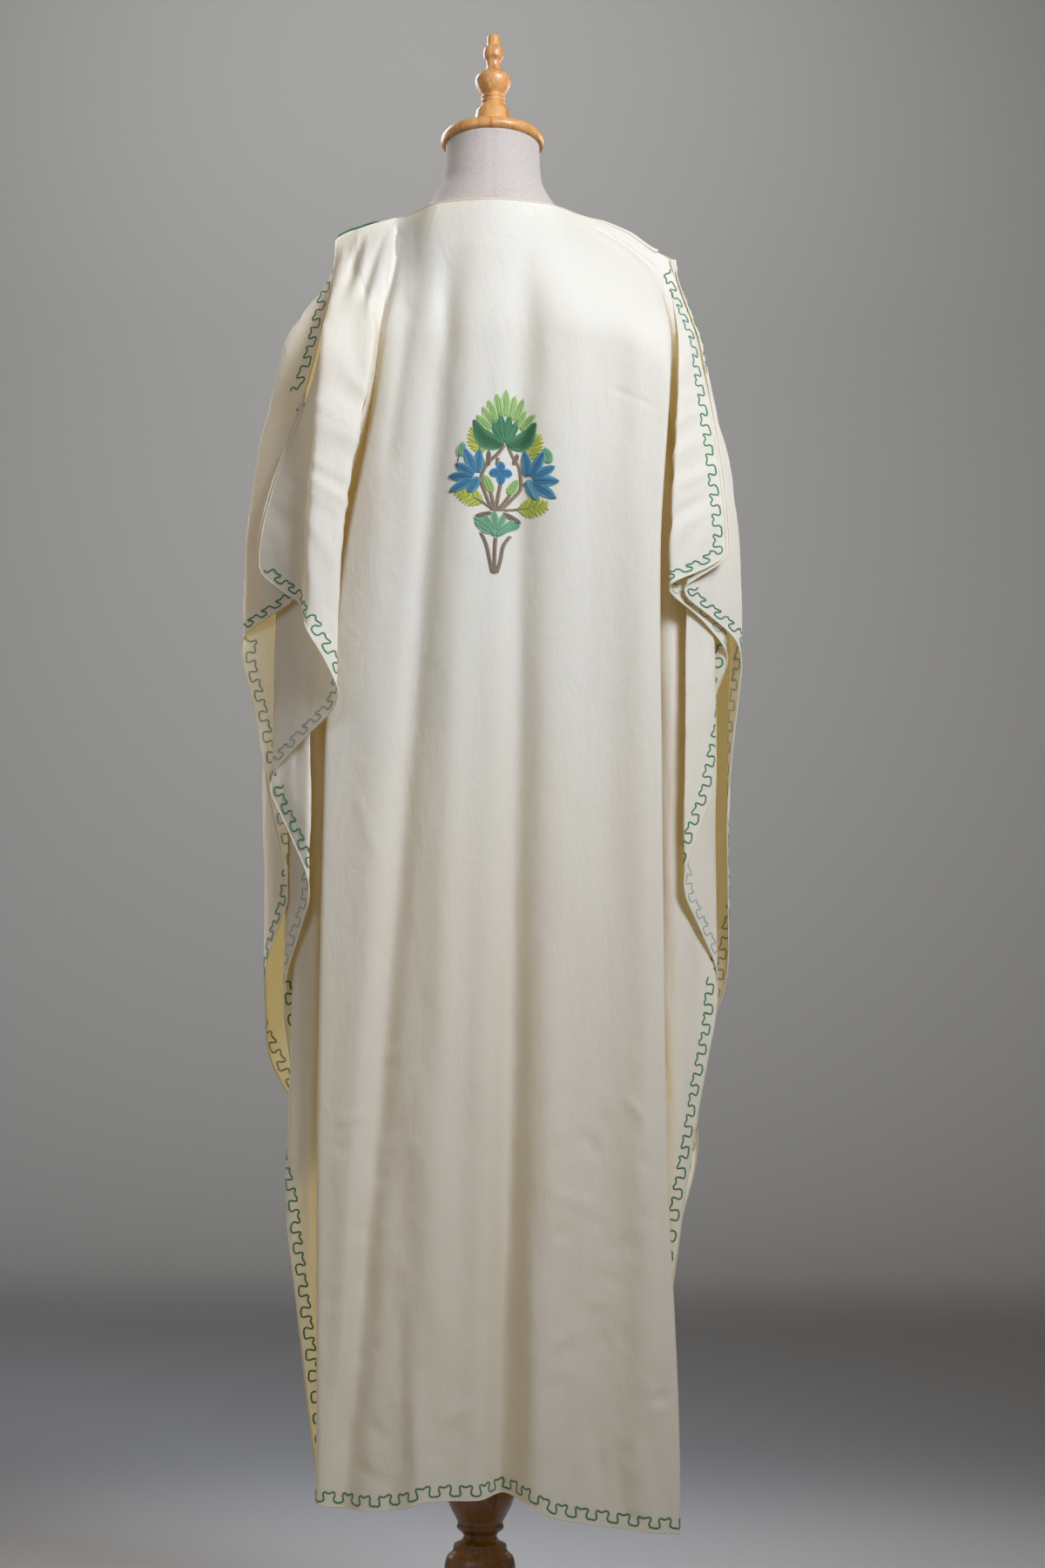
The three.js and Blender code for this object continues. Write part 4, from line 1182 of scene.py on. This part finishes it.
# A round paper cove, in metres: pale floor that rises into a grey wall on every side.
COVE = {"wall": 8.6, "height": 9.0, "bend": 3.0, "below": 0.001, "sides": 120}
PAPER = (0.50, 0.49, 0.475)
WORLD_TINT, WORLD_STRENGTH = (1.0, 0.94, 0.86, 1), 0.095
LIGHTS = table(
    "name at size power aim spread tint",
    ("key", (1.5, -2.1, 2.8), 1.1, 13.2, (-0.05, 0, 1.46), 56, (0.89, 0.99, 1.24)),
    ("fill", (-2.2, -3.0, 2.6), 2.2, 8, (0, 0, 1.6), 90, (0.90, 0.99, 1.2)),
    ("wall_wash", (-0.3, 5.5, 5.4), 2.3, 45, (-0.3, 8.6, 2.1), 108, (0.97, 0.985, 1)),
    ("front_wash", (0, -5.5, 5.4), 2.3, 34, (0, -8.6, 2.1), 108, (0.97, 0.985, 1)),
    ("left_wash", (-5.5, 0, 5.4), 2.3, 34, (-8.6, 0, 2.1), 108, (0.97, 0.985, 1)),
    ("right_wash", (5.5, 0, 5.4), 2.3, 34, (8.6, 0, 2.1), 108, (0.97, 0.985, 1)),
    ("floor_wash", (0, 0.8, 8.5), 9.0, 38, (0, 0.8, 0), 150, (1, 0.985, 0.96)),
    ("front_key", (-1.5, 2.4, 2.7), 1.3, 9.5, (0, 0, 1.25), 76, (0.97, 0.99, 1.06)),
    ("front_left_glow", (-1.7, 1.6, 1.5), 1.2, 7.5, (0, 0, 1.4), 110, (1, 0.96, 0.9)),
    ("front_right_glow", (1.7, 1.6, 1.5), 1.2, 7.5, (0, 0, 1.4), 110, (1, 0.96, 0.9)),
)


def studio():
    wall, bend = COVE["wall"], COVE["bend"]
    arc = [(wall - bend + bend * math.sin(a), bend - bend * math.cos(a))
           for a in np.linspace(0, math.pi / 2, 24)]
    line = [(0.02, 0.0), (1.5, 0.0)] + arc + [(wall, COVE["height"] / 2), (wall, COVE["height"])]
    points = [(r * math.cos(a) / MM, r * math.sin(a) / MM, (z - COVE["below"]) / MM)
              for r, z in line for a in circle(COVE["sides"])]
    faces = grid_faces(len(line), COVE["sides"], closed=True)
    sweep = new_object("paper_sweep", points, faces, stage_material("grey_paper", PAPER))
    scene = bpy.context.scene
    scene.world = bpy.data.worlds.new("studio")
    scene.world.use_nodes = True
    background = scene.world.node_tree.nodes["Background"].inputs
    background["Color"].default_value = WORLD_TINT
    background["Strength"].default_value = WORLD_STRENGTH
    for item in LIGHTS:
        data = bpy.data.lights.new(item["name"], "AREA")
        data.size, data.energy, data.color = item["size"], item["power"], item["tint"]
        data.spread = math.radians(item["spread"])
        lamp = bpy.data.objects.new(item["name"], data)
        lamp.location = item["at"]
        direction = Vector(item["aim"]) - Vector(item["at"])
        lamp.rotation_euler = direction.to_track_quat("-Z", "Y").to_euler()
        scene.collection.objects.link(lamp)


def camera():
    data = bpy.data.cameras.new("camera")
    data.sensor_fit = "VERTICAL"
    data.sensor_height = SENSOR_HIGH
    data.lens = LENS_MM
    cam = bpy.data.objects.new("camera", data)
    bpy.context.scene.collection.objects.link(cam)
    cam.matrix_world = (Matrix.Translation(CAMERA_AT)
                        @ Matrix.Rotation(math.pi / 2 + CAMERA_PITCH, 4, "X")
                        @ Matrix.Rotation(CAMERA_ROLL, 4, "Z"))
    bpy.context.scene.camera = cam


def main():
    camera()
    studio()
    bpy.context.scene.view_settings.view_transform = "Standard"
    cloth_look, thread_look = cloth_material(), thread_material()
    honey = wood_material("honey_wood", (0.36, 0.14, 0.032), (0.68, 0.32, 0.092), (70, 70, 11), 0.4)
    walnut = wood_material("dark_wood", (0.05, 0.019, 0.005), (0.25, 0.108, 0.03), (60, 60, 7), 0.3)
    build_form(linen_material())
    neck = FORM[-1]
    for name, outline, lift in (("neck_cap", CAP, SEAT_GAP),
                                ("finial", FINIAL, CAP_THICK + 2 * SEAT_GAP)):
        seat = (0, neck["y"] + lift * math.sin(NECK_TILT), neck["z"] + lift * math.cos(NECK_TILT))
        turned(name + "_turned", outline, honey, "honey_wood", seat=seat)
    turned("stand_stem_turned", STEM, walnut, "dark_wood")
    turned("stand_base_turned", BASE, walnut, "dark_wood", sides=160)
    for face, centre in (("back", (17, 1287)), ("front", (0, 1400))):
        obj, cloths = build_half(face, cloth_look)
        bands = border(face, cloths, thread_look)
        roll = hem_roll(face, cloths, cloth_look)
        work = Stitches()
        sprig(Motif(work, cloths["body"], face, centre))
        if face == "front":
            shoulder_motif(work, cloths["left"])
        stitched = work.build("sprig_" + face, thread_look)


main()
